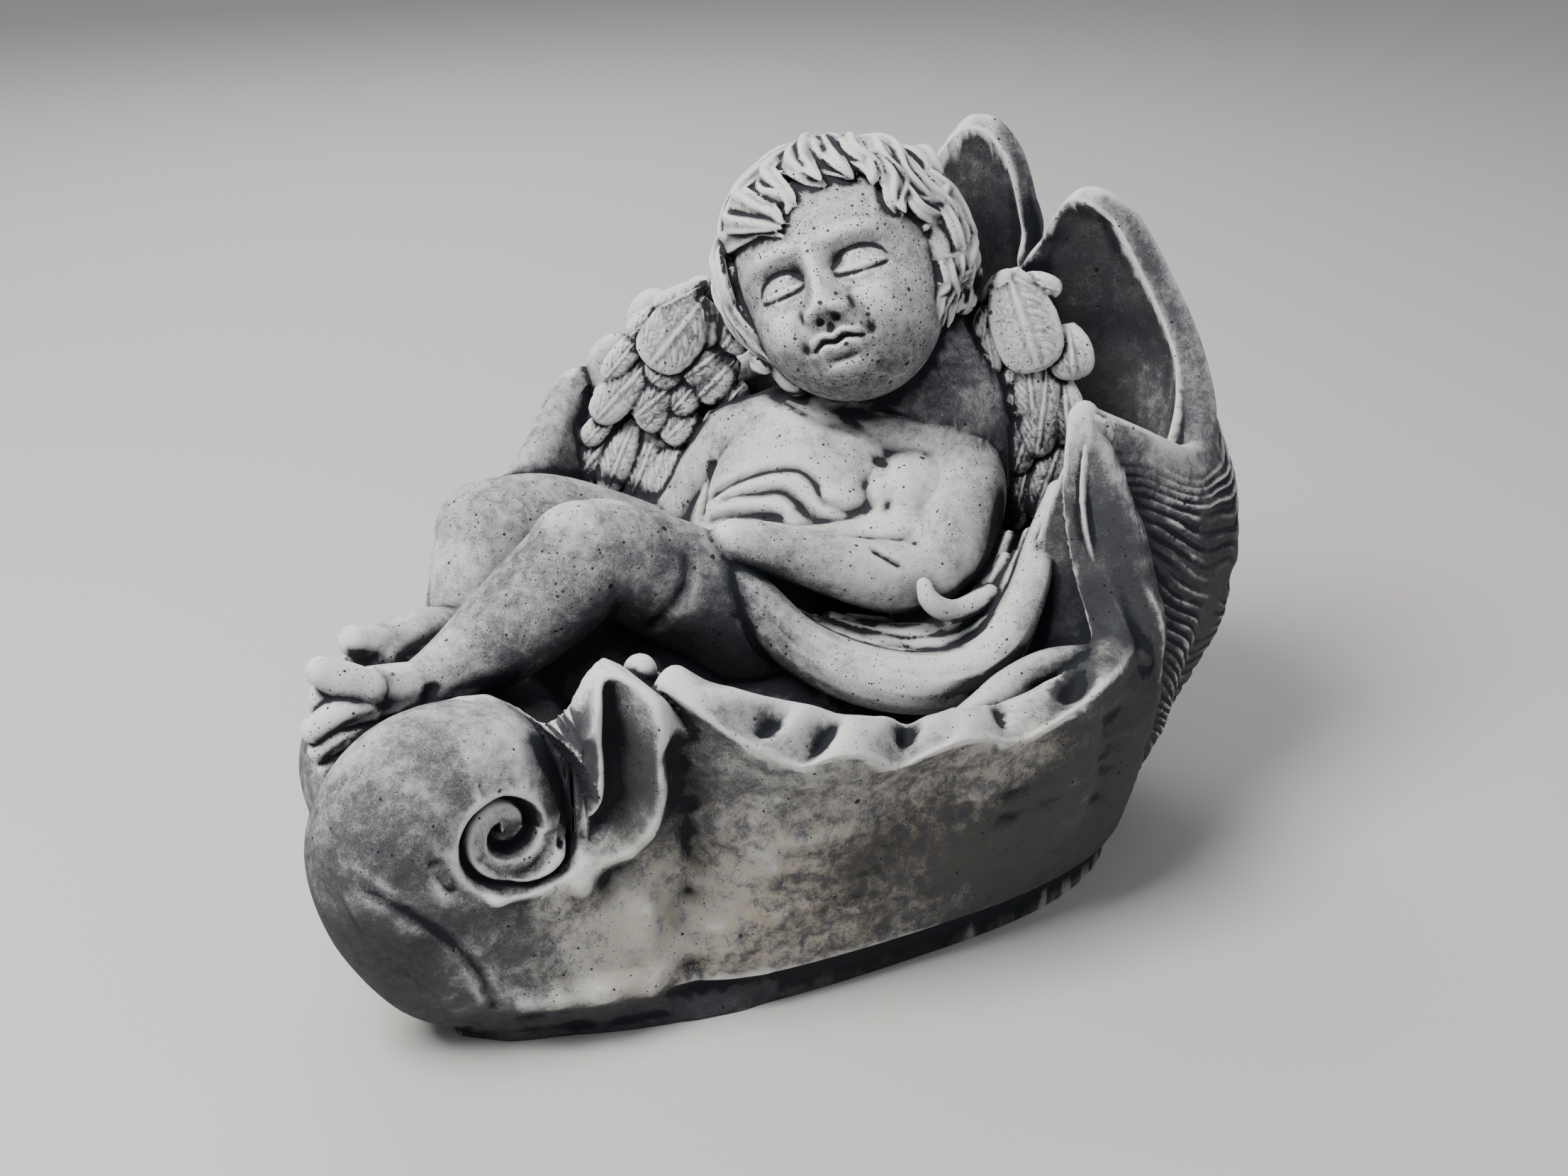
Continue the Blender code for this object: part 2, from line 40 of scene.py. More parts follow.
# The statue is laid out in units: x from the scroll to the head, -y the near side, z up from the underside.
layout = {
    "length": 0.405,  # metres from the scroll to the back of the head end
    "unitsLong": 422.0,  # units in that length
    "shift": (2.0, -5.8, 0.0),  # from the layout's zero to the middle of the footprint
}
unit = layout["length"] / layout["unitsLong"]
shift = np.array(layout["shift"])

# How finely the stone is worked, in metres
working = {
    "fleshStep": 0.0013,  # step at which the figure's limbs are fused
    "fleshRelax": 9,  # rounds of smoothing where limbs meet
    "stoneStep": 0.00078,  # step at which everything is fused
    "stoneRelax": 1,  # rounds of smoothing over the whole stone
    "mostTriangles": 196000,  # what the carved stone is thinned to
}

# Each form belongs to a layer, which says how its stone is painted.
layers = ("flesh", "head", "hair", "feather", "cloth", "shell", "scroll")
forms = {"limbs": [], "stone": []}


def addRings(rings, layer, batch="stone"):
    # Rings of points joined in order into one closed form, with a fan of triangles over either end.
    rings = np.asarray(rings, float)
    count, around = rings.shape[:2]
    points = np.vstack([rings.reshape(-1, 3), rings[0].mean(0), rings[-1].mean(0)])
    row = np.arange(count - 1)[:, None] * around
    here = np.arange(around)
    there = (here + 1) % around
    a, b = row + here, row + there
    last, hub = (count - 1) * around, np.full(around, count * around)
    parts = [
        np.stack([a, b, b + around], -1),
        np.stack([a, b + around, a + around], -1),
        np.stack([there, here, hub], -1),
        np.stack([last + here, last + there, hub + 1], -1),
    ]
    corners = np.concatenate([part.reshape(-1, 3) for part in parts])
    forms[batch].append((points, corners, layers.index(layer)))


def unitLong(vectors):
    # Each vector over its own length.
    vectors = np.asarray(vectors, float)
    return vectors / np.maximum(np.linalg.norm(vectors, axis=-1, keepdims=True), 1e-9)


def smoothThrough(knots, steps):
    # A Catmull-Rom curve through the rows of knots, read at even shares of its knots.
    rows = np.asarray(knots, float)
    padded = np.vstack([2 * rows[0] - rows[1], rows, 2 * rows[-1] - rows[-2]])
    along = np.linspace(0, len(rows) - 1, steps)
    index = np.minimum(along.astype(int), len(rows) - 2)
    t = (along - index)[:, None]
    a, b, c, d = (padded[index + k] for k in range(4))
    return 0.5 * (2 * b + (c - a) * t + (2 * a - 5 * b + 4 * c - d) * t**2 + (3 * b - a - 3 * c + d) * t**3)


def bell(gap, width):
    # e to the power of minus the square of gap over width.
    return np.exp(-((gap / width) ** 2))


def ease(value):
    # 3v squared minus 2v cubed, between 0 and 1.
    value = np.clip(value, 0, 1)
    return value * value * (3 - 2 * value)


def waves(points, size, seed, count=10):
    # Sines along drawn directions, each about size long and with its own phase, added up and evened out.
    draw = np.random.default_rng(seed)
    pull = unitLong(draw.normal(size=(count, points.shape[-1])))
    pull = pull * draw.uniform(0.6, 1.6, (count, 1)) * 2 * np.pi / size
    return np.sin(points @ pull.T + draw.uniform(0, 2 * np.pi, count)).sum(-1) / np.sqrt(count)


def tube(knots, layer, side=(0, 0, 1), flat=1.0, around=36, steps=0, ridges=0, ridgeDepth=0.0, waver=0.0,
         batch="stone"):
    # A round section carried along a curve through (x, y, z, radius), squeezed along side, with half-ball
    # ends. Ridges are a cosine of the angle round the section.
    rows = smoothThrough(knots, steps or 14 * len(knots))
    centres, radii = rows[:, :3], np.maximum(rows[:, 3], 0.4)
    tangents = unitLong(np.gradient(centres, axis=0))
    rounding = np.radians([86, 74, 62, 50, 38, 26, 13])[:, None]
    head = centres[0] - tangents[0] * radii[0] * np.sin(rounding)
    tail = centres[-1] + tangents[-1] * radii[-1] * np.sin(rounding[::-1])
    shrink = np.cos(rounding[:, 0])
    centres = np.vstack([head, centres, tail])
    radii = np.concatenate([radii[0] * shrink, radii, radii[-1] * shrink[::-1]])[:, None, None]
    tangents = np.vstack([np.repeat(tangents[:1], 7, 0), tangents, np.repeat(tangents[-1:], 7, 0)])
    side = np.asarray(side, float)
    across = unitLong(side - tangents * (tangents @ side)[:, None])
    other = np.cross(tangents, across)
    turn = (2 * np.pi * np.arange(around) / around)[None, :, None]
    share = np.linspace(0, 1, len(centres))[:, None, None]
    swell = 1 + ridgeDepth * np.cos(ridges * turn + waver * np.sin(7 * share)) if ridges else 1.0
    section = swell * (flat * across[:, None] * np.cos(turn) + other[:, None] * np.sin(turn))
    addRings(centres[:, None] + radii * section, layer, batch)


def egg(centre, radii, layer, axes=None, cuts=28, batch="stone"):
    # A ball stretched by three half widths along the columns of axes.
    polar = (np.pi * np.arange(1, cuts) / cuts)[:, None]
    turn = np.pi * np.arange(2 * cuts) / cuts
    ball = [np.sin(polar) * np.cos(turn), np.sin(polar) * np.sin(turn), np.cos(polar) + 0 * turn]
    axes = np.eye(3) if axes is None else axes
    addRings(np.asarray(centre, float) + np.stack(ball, -1) * radii @ axes.T, layer, batch)


# The shell: a standing wall that runs round the figure
shellPlan = {
    "middle": (20.0, 4.0),  # the upright line that the angles turn about
    "foot": {"head": 122.0, "scroll": 193.0, "near": 92.0, "far": 86.0, "power": 2.6},
    "wall": 14.6, "band": 16.7, "floor": 40.0,
    # angle, reach half way up, reach of the rim, height of the rim
    "rows": (
        (-180, 196, 190, 56), (-166, 184, 178, 52), (-154, 156, 152, 60), (-149, 150, 157, 116),
        (-145, 145, 157, 143), (-139, 138, 151, 138), (-135, 132, 144, 129), (-131, 127, 139, 121),
        (-127.5, 123, 134, 114), (-124, 120, 131, 110), (-119, 116, 130, 115), (-114.5, 113, 127, 113),
        (-108, 110, 120, 102), (-103, 109, 121, 107), (-97, 109, 123, 112), (-91, 109, 121, 108),
        (-86, 110, 119, 103), (-82, 111, 118, 100), (-77, 114, 122, 105), (-73, 117, 125, 109),
        (-70, 120, 126, 110), (-66, 122, 128, 113), (-62, 124, 128, 114), (-58, 127, 128, 114),
        (-54, 130, 127, 114), (-50, 133, 127, 113), (-47, 135, 126, 113), (-45, 136, 122, 118),
        (-43.5, 137, 112, 136), (-42.5, 137, 106, 158), (-41, 138, 104, 176), (-39, 138, 104, 191),
        (-36.5, 139, 106, 199), (-33.5, 142, 114, 196), (-30, 150, 127, 187), (-27, 158, 140, 176),
        (-23, 166, 149, 168), (-20, 171, 153, 166), (-16, 177, 162, 162), (-11, 180, 166, 180),
        (-6, 181, 162, 206), (-1, 182, 150, 240), (3, 184, 144, 258), (7, 183, 138, 258),
        (11, 181, 134, 244), (15, 178, 138, 222), (18, 176, 140, 232), (22, 172, 138, 266),
        (27, 167, 134, 279), (32, 162, 131, 279), (37, 156, 130, 264), (42, 150, 131, 236),
        (48, 144, 134, 205), (58, 134, 132, 184), (70, 124, 126, 178), (82, 119, 122, 166),
        (96, 117, 122, 166), (108, 119, 127, 178), (114, 121, 129, 182), (124, 125, 133, 168),
        (133, 130, 137, 158), (144, 140, 147, 140), (153, 151, 156, 127), (159, 158, 160, 117),
        (164, 168, 164, 104), (169, 182, 178, 74), (180, 196, 190, 56),
    ),
    # angle at the rim, how far it stands out, half width, lean with the height, lowest and highest place
    "folds": (
        (-147.0, -14, 9.0, 0.0, 0, 170), (-32.5, -9, 4.2, 0.0, 92, 205), (-36, -6, 3.5, 0.0, 20, 110),
        (-57, -5, 5.0, 0.0, 30, 100), (-116, 2.5, 6.0, 0.0, 50, 112), (-92, 2.5, 6.0, 0.0, 40, 108),
        (-68, 3, 6.0, 0.0, 40, 112), (-25, -5, 5.0, 0.0, 20, 150), (-6, 8, 12, 0.0, 20, 260),
        (15, -8, 5, 0.0, 40, 240), (31, 7, 12, 0.0, 30, 290), (49, -6, 8, 0.0, 30, 210),
        (66, 5, 12, 0.0, 20, 190), (86, -6, 7, 0.0, 20, 180), (110, 6, 12, 0.0, 20, 190),
        (134, -5, 9, 0.0, 20, 180),
    ),
    "fill": {"angle": -8.0, "width": 13.0, "depth": 30.0, "top": 200.0},
    # dark pockets in the near lip: angle, share of the way over the lip, depth, half width
    "pockets": ((-129.6, 0.46, 8.5, 2.7), (-121.0, 0.50, 8.5, 2.4), (-104.5, 0.66, 8.5, 2.4),
                (-83, 0.55, 5, 2.0), (-67, 0.55, 10, 4.2)),
    # angle, height of the inner edge of the near lip
    "inner": ((-150, 141), (-143, 141), (-138, 139), (-133, 134), (-128, 129), (-122, 124), (-116, 119),
              (-110, 114), (-104, 110), (-98, 111), (-92, 111), (-86, 107), (-80, 106), (-74, 109),
              (-68, 112), (-60, 114), (-50, 113)),
    # where the near lip is widest, how much wider, and how many degrees its bumps slant
    "lip": {"angle": -95.0, "width": 44.0, "more": 8.0, "slant": 7.0},
    "growth": 6.2,  # from one growth line to the next
}


def shell(columns=1300, up=330, down=90):
    # Upright columns: out over the foot band, along the belly's curve to the rim, over the lip and down the
    # inside. The reach is the blended rows, plus a bell for each fold, plus the growth lines.
    angle = np.linspace(-180, 180, columns, endpoint=False)
    rows = np.array(shellPlan["rows"], float)
    spread = np.exp(-np.linspace(-2, 2, 25) ** 2)
    spread /= spread.sum()

    def between(column):
        values = np.interp(angle, rows[:, 0], rows[:, column])
        return np.convolve(np.concatenate([values[-12:], values, values[:12]]), spread, "valid")

    belly, rim, top = between(1), between(2), between(3)
    c, s = np.cos(np.radians(angle)), np.sin(np.radians(angle))
    foot = shellPlan["foot"]
    along = np.where(c > 0, foot["head"], foot["scroll"])
    wide = np.where(s < 0, foot["near"], foot["far"])
    power = foot["power"]
    base = ((np.abs(c) / along) ** power + (np.abs(s) / wide) ** power) ** (-1 / power)
    band, floor, broad = shellPlan["band"], shellPlan["floor"], shellPlan["lip"]
    wall = shellPlan["wall"] + broad["more"] * bell(angle - broad["angle"], broad["width"])
    wall = wall - 6 * bell(angle + 38, 6)
    bellyAt = np.minimum(112.0, 0.70 * top)

    height = np.linspace(0, 1, up)[:, None] * top
    rising = np.clip((height - band) / (bellyAt - band), 0, 1)
    closing = np.clip((height - bellyAt) / (top - bellyAt), 0, 1)
    low = base + 7.0 * ease((height - band + 3) / 4)
    reach = low + (belly - low) * (1 - (1 - rising) ** 1.8)
    upper = belly + (rim - belly) * (0.25 * closing + 0.75 * closing**1.9)
    reach = np.where(height > bellyAt, upper, reach)
    for at, out, width, lean, lowest, highest in shellPlan["folds"]:
        gap = (angle - at - lean * (height - 110) + 180) % 360 - 180
        shown = out * bell(gap, width) * ease((height - lowest) / 25)
        reach = reach + shown * ease((highest - height) / 12)

    plain = reach
    # growth lines: sines of the depth below the rim, bent by slow waves, strongest at the head end
    place = np.stack([reach * c, reach * s, height], -1)
    bend = waves(place, 95, 3) * 8 + waves(place, 38, 4) * 2.8
    depth = top - height
    strata = np.sin((depth + bend) * 2 * np.pi / shellPlan["growth"])
    strata = strata + 0.5 * np.sin((depth * 1.7 + bend * 1.4) * 2 * np.pi / 5.1)
    headEnd = np.maximum(0.9 * bell(angle + 29, 4.5), 0.5 * bell(angle - 60, 60))
    headEnd = np.maximum(bell(angle + 6, 17), headEnd)
    patch = ease(0.6 + 0.5 * waves(place, 60, 5))
    strength = (0.06 + 1.15 * headEnd) * (0.3 + 0.7 * patch)
    strength = strength * ease((height - band - 8) / 20) * ease(depth / 14)
    quiet = 1 - ease((-angle - 128) / 14) * 0.8
    streaks = waves(place * np.array([0.35, 0.35, 1.0]), 11, 6)
    rough = 0.32 * streaks * ease((height - band) / 10)
    rough = rough + 1.2 * waves(place, 46, 7) * ease((height - band) / 30)
    reach = reach + 0.85 * strata * strength * quiet + rough * ease(depth / 10)

    lip = []
    near = ease((angle + 143) / 8) * ease((-54 - angle) / 8)
    edge = np.array(shellPlan["inner"], float)
    edge = np.interp(angle, edge[:, 0], edge[:, 1])
    crown = ((0.10, 0.15), (0.22, 0.24), (0.36, 0.30), (0.50, 0.32), (0.66, 0.29), (0.80, 0.22),
             (0.92, 0.11), (1, 0))
    for over, lift in crown:
        slanted = np.interp(angle - broad["slant"] * over, angle, top, period=360)
        inward = ease(over * 1.15)
        rise = ((slanted - top) * (1 - inward) + (edge - top) * inward) * near + lift * (15 - 7 * near)
        for at, share, dent, width in shellPlan["pockets"]:
            gap = angle - at - broad["slant"] * (over - share)
            rise = rise - dent * bell(gap, width) * bell(over - share, 0.30)
        lip.append(np.stack([reach[-1] - over * wall, top + rise], -1))
    sink = np.linspace(0.015, 1, down)[:, None]
    inHeight = top + (floor - top) * sink + (lip[-1][:, 1] - top) * np.clip(1 - sink * 4, 0, 1)
    outReach = [np.interp(inHeight[:, k], height[:, k], plain[:, k]) for k in range(columns)]
    fill = shellPlan["fill"]
    filled = fill["depth"] * bell(angle - fill["angle"], fill["width"])
    filled = filled * ease((fill["top"] - inHeight) / 90)
    inner = (np.stack(outReach, 1) - wall * (1.0 + 0.5 * sink)) * (1 - 0.28 * sink**3) - filled
    inside = np.stack([inner, inHeight], -1)
    under = np.stack([base * np.array([0.2, 0.5, 0.8])[:, None], np.zeros((3, columns))], -1)
    ending = np.stack([inner[-1] * np.array([0.7, 0.4, 0.15])[:, None], np.full((3, columns), floor)], -1)
    profile = np.concatenate([under, np.stack([reach, height], -1), np.stack(lip), inside, ending])
    x = shellPlan["middle"][0] + profile[..., 0] * c
    y = shellPlan["middle"][1] + profile[..., 0] * s
    addRings(np.stack([x, y, profile[..., 1]], -1), "shell")
    return angle, height, reach


def wallAt(x, z, outer):
    # How far the wall stands out toward -y at each (x, z): its reach is read along the angle at even heights.
    angle, height, reach = outer
    some = np.flatnonzero((angle > -150) & (angle < -84))
    turn = np.radians(angle[some])
    middleX, middleY = shellPlan["middle"]
    levels = np.linspace(0, 130, 60)
    rows = []
    for level in levels:
        at = np.array([np.interp(level, height[:, k], reach[:, k]) for k in some])
        rows.append(np.interp(x[0], middleX + at * np.cos(turn), -middleY - at * np.sin(turn)))
    rows = np.array(rows)
    low = np.clip(z / (levels[1] - levels[0]), 0, len(levels) - 1.001)
    step = low.astype(int)
    column = np.arange(x.shape[1])[None, :]
    return rows[step, column] * (step + 1 - low) + rows[step + 1, column] * (low - step)


# The turned-in leaf of the shell beside the left wing, between its inner and its outer edge
leafPlan = {
    "inner": ((58, -58, 80), (68, -53, 98), (79, -47, 116), (86, -46, 136), (91, -48, 156), (95, -52, 174),
              (101, -56, 190)),
    "outer": ((108, -84, 84), (113, -83, 98), (111, -80, 112), (105, -75, 126), (99, -70, 144),
              (96, -66, 162), (97, -63, 180), (103, -58, 198)),
    "hollow": 6.0, "thick": 12.0,
}


def leaf(rows=90, across=60):
    # Straight lines between two edge curves, dished by a sine across, with rounded edges and a full back.
    inner, outer = smoothThrough(leafPlan["inner"], rows), smoothThrough(leafPlan["outer"], rows)
    turn = 2 * np.pi * np.arange(across) / across
    span = outer - inner
    rise = unitLong(np.gradient((inner + outer) / 2, axis=0))
    facing = unitLong(np.cross(rise, span))
    facing = facing * np.sign(-(facing @ np.array([0.6, 0.75, -0.2])))[:, None]
    share = 0.5 - 0.5 * np.cos(turn)
    front = np.sin(turn) > 0
    dished = 3.0 * np.abs(np.sin(turn)) ** 0.5 - leafPlan["hollow"] * np.sin(np.pi * share) ** 2
    lift = np.where(front, dished, -leafPlan["thick"] * np.abs(np.sin(turn)) ** 0.7)
    rings = inner[:, None] + span[:, None] * share[None, :, None] + facing[:, None] * lift[None, :, None]
    addRings(rings, "shell")


def ridges():
    # The lip's inner edge behind the near corner, and the small round knob inside the rim on its low ridge.
    tube([(22, -84, 94, 5), (36, -85, 100, 6.5), (50, -84, 106, 7), (66, -85, 111, 6.5), (82, -88, 111, 6),
          (98, -88, 108, 6), (112, -84, 102, 6)], "shell")
    egg((-93, -60, 139), (6, 6, 6), "shell")
    tube([(-96, -60, 130, 10), (-84, -56, 122, 10), (-74, -50, 106, 12)], "shell")


# The scroll at the foot end
scrollPlan = {
    "eye": (-150.0, 92.0),
    # outer reach by turn
    "reach": ((-90, 93), (-60, 72), (-30, 46), (-8, 32), (12, 30), (33, 33), (55, 36), (73, 37), (90, 38),
              (115, 43), (140, 51), (160, 57), (180, 62), (205, 66), (230, 74), (250, 86), (270, 93)),
    # the groove's reach as it winds in
    "groove": ((0, 30), (45, 24), (90, 19), (180, 15.8), (270, 14.4), (360, 11.2), (450, 7.2), (540, 4.6),
               (630, 2.4)),
    "drums": ((1.0, -41.0, 29.4), (0.74, 6.0, 44.0)),  # size, middle plane and half width
}

# The scroll's near end with the sweep below it that runs on into the wall, and the first flute
nearPlan = {
    "columns": 320, "rows": 330, "power": 2.6, "plane": 41.0, "dome": 30.0, "melt": 2.6,
    # x, the lowest and the highest place, and the back
    "edges": ((-206, 74, 102, 36), (-200, 56, 112, 36), (-190, 36, 119, 34), (-180, 21, 124, 32),
              (-170, 8, 127, 30), (-164, 0, 129, 28), (-150, 0, 130, 28), (-138, 0, 128, 28),
              (-130, 0, 122, 28), (-125.5, 0, 121, 50), (-122.5, 0, 136, 64), (-120, 0, 146, 68),
              (-115, 0, 151, 68), (-108, 0, 150, 62), (-101, 0, 145, 62), (-96, 0, 140, 66),
              (-86, 0, 126, 70), (-76, 0, 112, 72), (-67, 0, 104, 74), (-56, 0, 98, 76), (-40, 0, 92, 76)),
    "heights": (0, 14, 22, 45, 70, 95, 120, 150),
    # x, then how far the sweep stands out at each of those heights
    "sweep": ((-206, 0, 0, 0, 10, 20, 20, 10, 0), (-190, 14, 18, 26, 40, 40, 30, 10, 0),
              (-178, 30, 34, 46, 55, 54, 44, 20, 0),
              (-168, 42, 46, 58, 63, 62, 52, 30, 10), (-160, 50, 54, 66, 68, 66, 56, 34, 10),
              (-150, 57, 61, 74, 71, 68, 58, 36, 20),
              (-138, 63, 67, 80, 73, 71, 62, 46, 40), (-124, 68, 72, 83, 77, 75, 76, 79, 80),
              (-110, 73, 76, 84, 80, 79, 86, 89, 90),
              (-95, 77, 80, 85, 83, 85, 92, 95, 94), (-80, 80, 83, 87, 87, 92, 97, 101, 100),
              (-70, 80, 83, 91, 92, 94, 97, 103, 104),
              (-56, 80, 84, 89, 90, 91, 93, 100, 102), (-40, 78, 82, 84, 86, 89, 91, 96, 96)),
    # the groove's reach about the eye, by turn: the sweep ends at it
    "coil": ((-180, 12), (-115, 14), (-76, 19), (-52, 23.5), (-40, 25.5), (0, 29), (12, 30), (33, 33),
             (55, 38), (75, 41), (92, 43), (112, 12), (180, 12)),
    # how far in or out, half width at the start and at the end, and the line's (x, z)
    "strokes": (
        (-13.0, 7.5, 6.0, ((-112, 144), (-111, 122), (-111, 104), (-115, 93), (-121, 86))),
        (-6.0, 6.0, 9.0, ((-95, 120), (-91, 104), (-95, 87), (-103, 73), (-114, 68))),
        (-2.0, 9.0, 12.0, ((-84, 116), (-78, 96), (-84, 74), (-98, 58))),
        (4.5, 3.4, 3.4, ((-119, 146), (-120, 126), (-121, 110), (-124, 94), (-130, 82), (-141, 73),
                         (-156, 72))),
        (3.6, 5.0, 6.0, ((-104, 146), (-102, 126), (-101, 107), (-104, 92), (-111, 80), (-124, 70))),
        (-5.0, 2.2, 1.6, ((-124, 126), (-122.5, 116), (-123, 104), (-125, 94), (-130, 84))),
        (-2.2, 1.8, 1.8, ((-177, 90), (-172, 80))),
        (1.6, 10.0, 9.0, ((-197, 76), (-186, 62), (-175, 46), (-166, 28))),
        (-1.5, 2.4, 2.4, ((-204, 88), (-190, 76), (-175, 60), (-164, 42), (-159, 25))),
        (-1.8, 2.4, 2.4, ((-204, 64), (-194, 50), (-182, 34), (-174, 20), (-164, 6))),
    ),
}


def alongLine(x, z, knots, wideFrom, wideTo):
    # A bell of the distance to the nearest piece of a curve, with a half width that changes along the curve.
    line = smoothThrough(knots, 26)
    spot = np.stack([x, z], -1)[..., None, :]
    step = line[1:] - line[:-1]
    part = np.clip(((spot - line[:-1]) * step).sum(-1) / (step**2).sum(-1), 0, 1)
    gap = ((spot - line[:-1] - part[..., None] * step) ** 2).sum(-1)
    nearest = gap.argmin(-1)[..., None]
    share = (nearest + np.take_along_axis(part, nearest, -1)) / 25
    wide = wideFrom + (wideTo - wideFrom) * share
    return np.exp(-np.take_along_axis(gap, nearest, -1) / wide**2)[..., 0]


def coil(radius, turn, size):
    # How far the whorl has sunk inside the groove, plus the groove's own cut, by the turn that it has wound.
    knots = np.array(scrollPlan["groove"], float)
    first = (-turn) % 360
    sunk, cut = np.zeros_like(radius), np.zeros_like(radius)
    for lap in range(2):
        wound = first + 360 * lap
        at = np.interp(wound, knots[:, 0], knots[:, 1]) * size
        live = (wound < 625) * 1.0
        width, depth = ((1.8, 6.5), (1.5, 3.6))[lap]
        sunk = np.maximum(sunk, ease((at - radius) / 3.0 + 0.5) * live * np.clip(wound, 0, 620) / 620 * 13)
        cut = np.maximum(cut, live * bell(radius - at, width) * depth)
    return sunk + cut


def nearSide(outer):
    # Upright strips side by side: each stands out by the melted maximum of the coil's domed end and the
    # sweep, plus the strokes, less the whorl. It has a rounded top edge and a plain back inside the stone.
    plan = nearPlan
    edges = np.array(plan["edges"], float)
    x = np.linspace(edges[0, 0], edges[-1, 0], plan["columns"])
    lowest, highest, back = (np.interp(x, edges[:, 0], edges[:, k]) for k in (1, 2, 3))
    even = np.hanning(13) / np.hanning(13).sum()
    highest = np.convolve(np.pad(highest, 6, "edge"), even, "valid")
    share = np.linspace(0, 1, plan["rows"])[:, None]
    z = lowest + share * (highest - lowest)
    x = np.broadcast_to(x, z.shape)
    table = np.array(plan["sweep"], float)
    total, weights = 0, 0
    for k, height in enumerate(plan["heights"]):
        spread = 6.0 if height < 30 else 15.0
        weight = bell(z - height, spread) + 1e-9
        total = total + weight * np.interp(x, table[:, 0], table[:, k + 1])
        weights = weights + weight
    sweep = total / weights
    join = ease((x + 104) / 26)
    sweep = sweep * (1 - join) + (wallAt(x, z, outer) + 0.6 - 3.0 * ease((x + 60) / 20)) * join
    eyeX, eyeZ = scrollPlan["eye"]
    radius = np.hypot(x - eyeX, z - eyeZ)
    turn = np.degrees(np.arctan2(z - eyeZ, x - eyeX))
    knots = np.array(scrollPlan["reach"], float)
    reach = np.interp((turn + 90) % 360 - 90, knots[:, 0], knots[:, 1])
    inward = 1 - np.minimum(radius / reach, 1) ** plan["power"]
    domed = plan["plane"] + plan["dome"] * inward ** (1 / 2.2)
    domed = domed - 3 * np.maximum(radius - reach, 0)
    ring = np.array(plan["coil"], float)
    inside = ease((np.interp(turn, ring[:, 0], ring[:, 1]) - radius) / 3.0 + 0.5)
    sweep = sweep - 40 * inside
    melt = plan["melt"]
    most = np.maximum(domed, sweep)
    out = most + melt * np.log(np.exp((domed - most) / melt) + np.exp((sweep - most) / melt))
    out = out - coil(radius, turn, 1.0)
    for depth, wideFrom, wideTo, line in plan["strokes"]:
        out = out + depth * alongLine(x, z, line, wideFrom, wideTo)
    spot = np.stack([x, z], -1)
    out = out - 5.5 * bell(radius, 9.0) + 0.35 * waves(spot, 16, 8) + 0.5 * waves(spot, 44, 9)
    edge = np.clip((z - highest + 6) / 6, 0, 1)
    out = out - 6 * (1 - np.sqrt(1 - edge**2))
    edge = np.clip((lowest + 8 - z) / 8, 0, 1) * (lowest > 1)
    out = np.maximum(out - 8 * (1 - np.sqrt(1 - edge**2)), back + 0.6)
    behind = lowest + np.linspace(1, 0, 40)[:, None] * (highest - lowest - 1)
    strips = np.concatenate([
        np.stack([x, -out, z], -1),
        np.stack([x[:40], np.broadcast_to(-back, behind.shape), behind], -1),
    ])
    addRings(strips.transpose(1, 0, 2), "scroll")


def scroll(size, plane, width, turns=720, out=220):
    # A drum about the eye with domed ends. A groove winds into each end, and the whorl inside it sinks.
    eye = scrollPlan["eye"]
    turn = np.linspace(-90, 270, turns, endpoint=False)
    knots = np.array(scrollPlan["reach"], float)
    reach = np.interp(turn, knots[:, 0], knots[:, 1]) * size
    reach = np.convolve(np.concatenate([reach[-20:], reach, reach[:20]]), np.ones(41) / 41, "valid")
    share = np.linspace(0.004, 1, out)[:, None] ** 0.85
    radius = share * reach
    dome = (1 - np.minimum(share, 1) ** 2.6) ** (1 / 2.2)
    fade = ease((reach - radius) / 6 + 0.35)
    half = width * dome - coil(radius, turn, size) * fade
    x, z = eye[0] + radius * np.cos(np.radians(turn)), eye[1] + radius * np.sin(np.radians(turn))
    near, far = np.stack([x, plane - half, z], -1), np.stack([x, plane + half, z], -1)[::-1]
    addRings(np.concatenate([near, far[1:]]), "scroll")


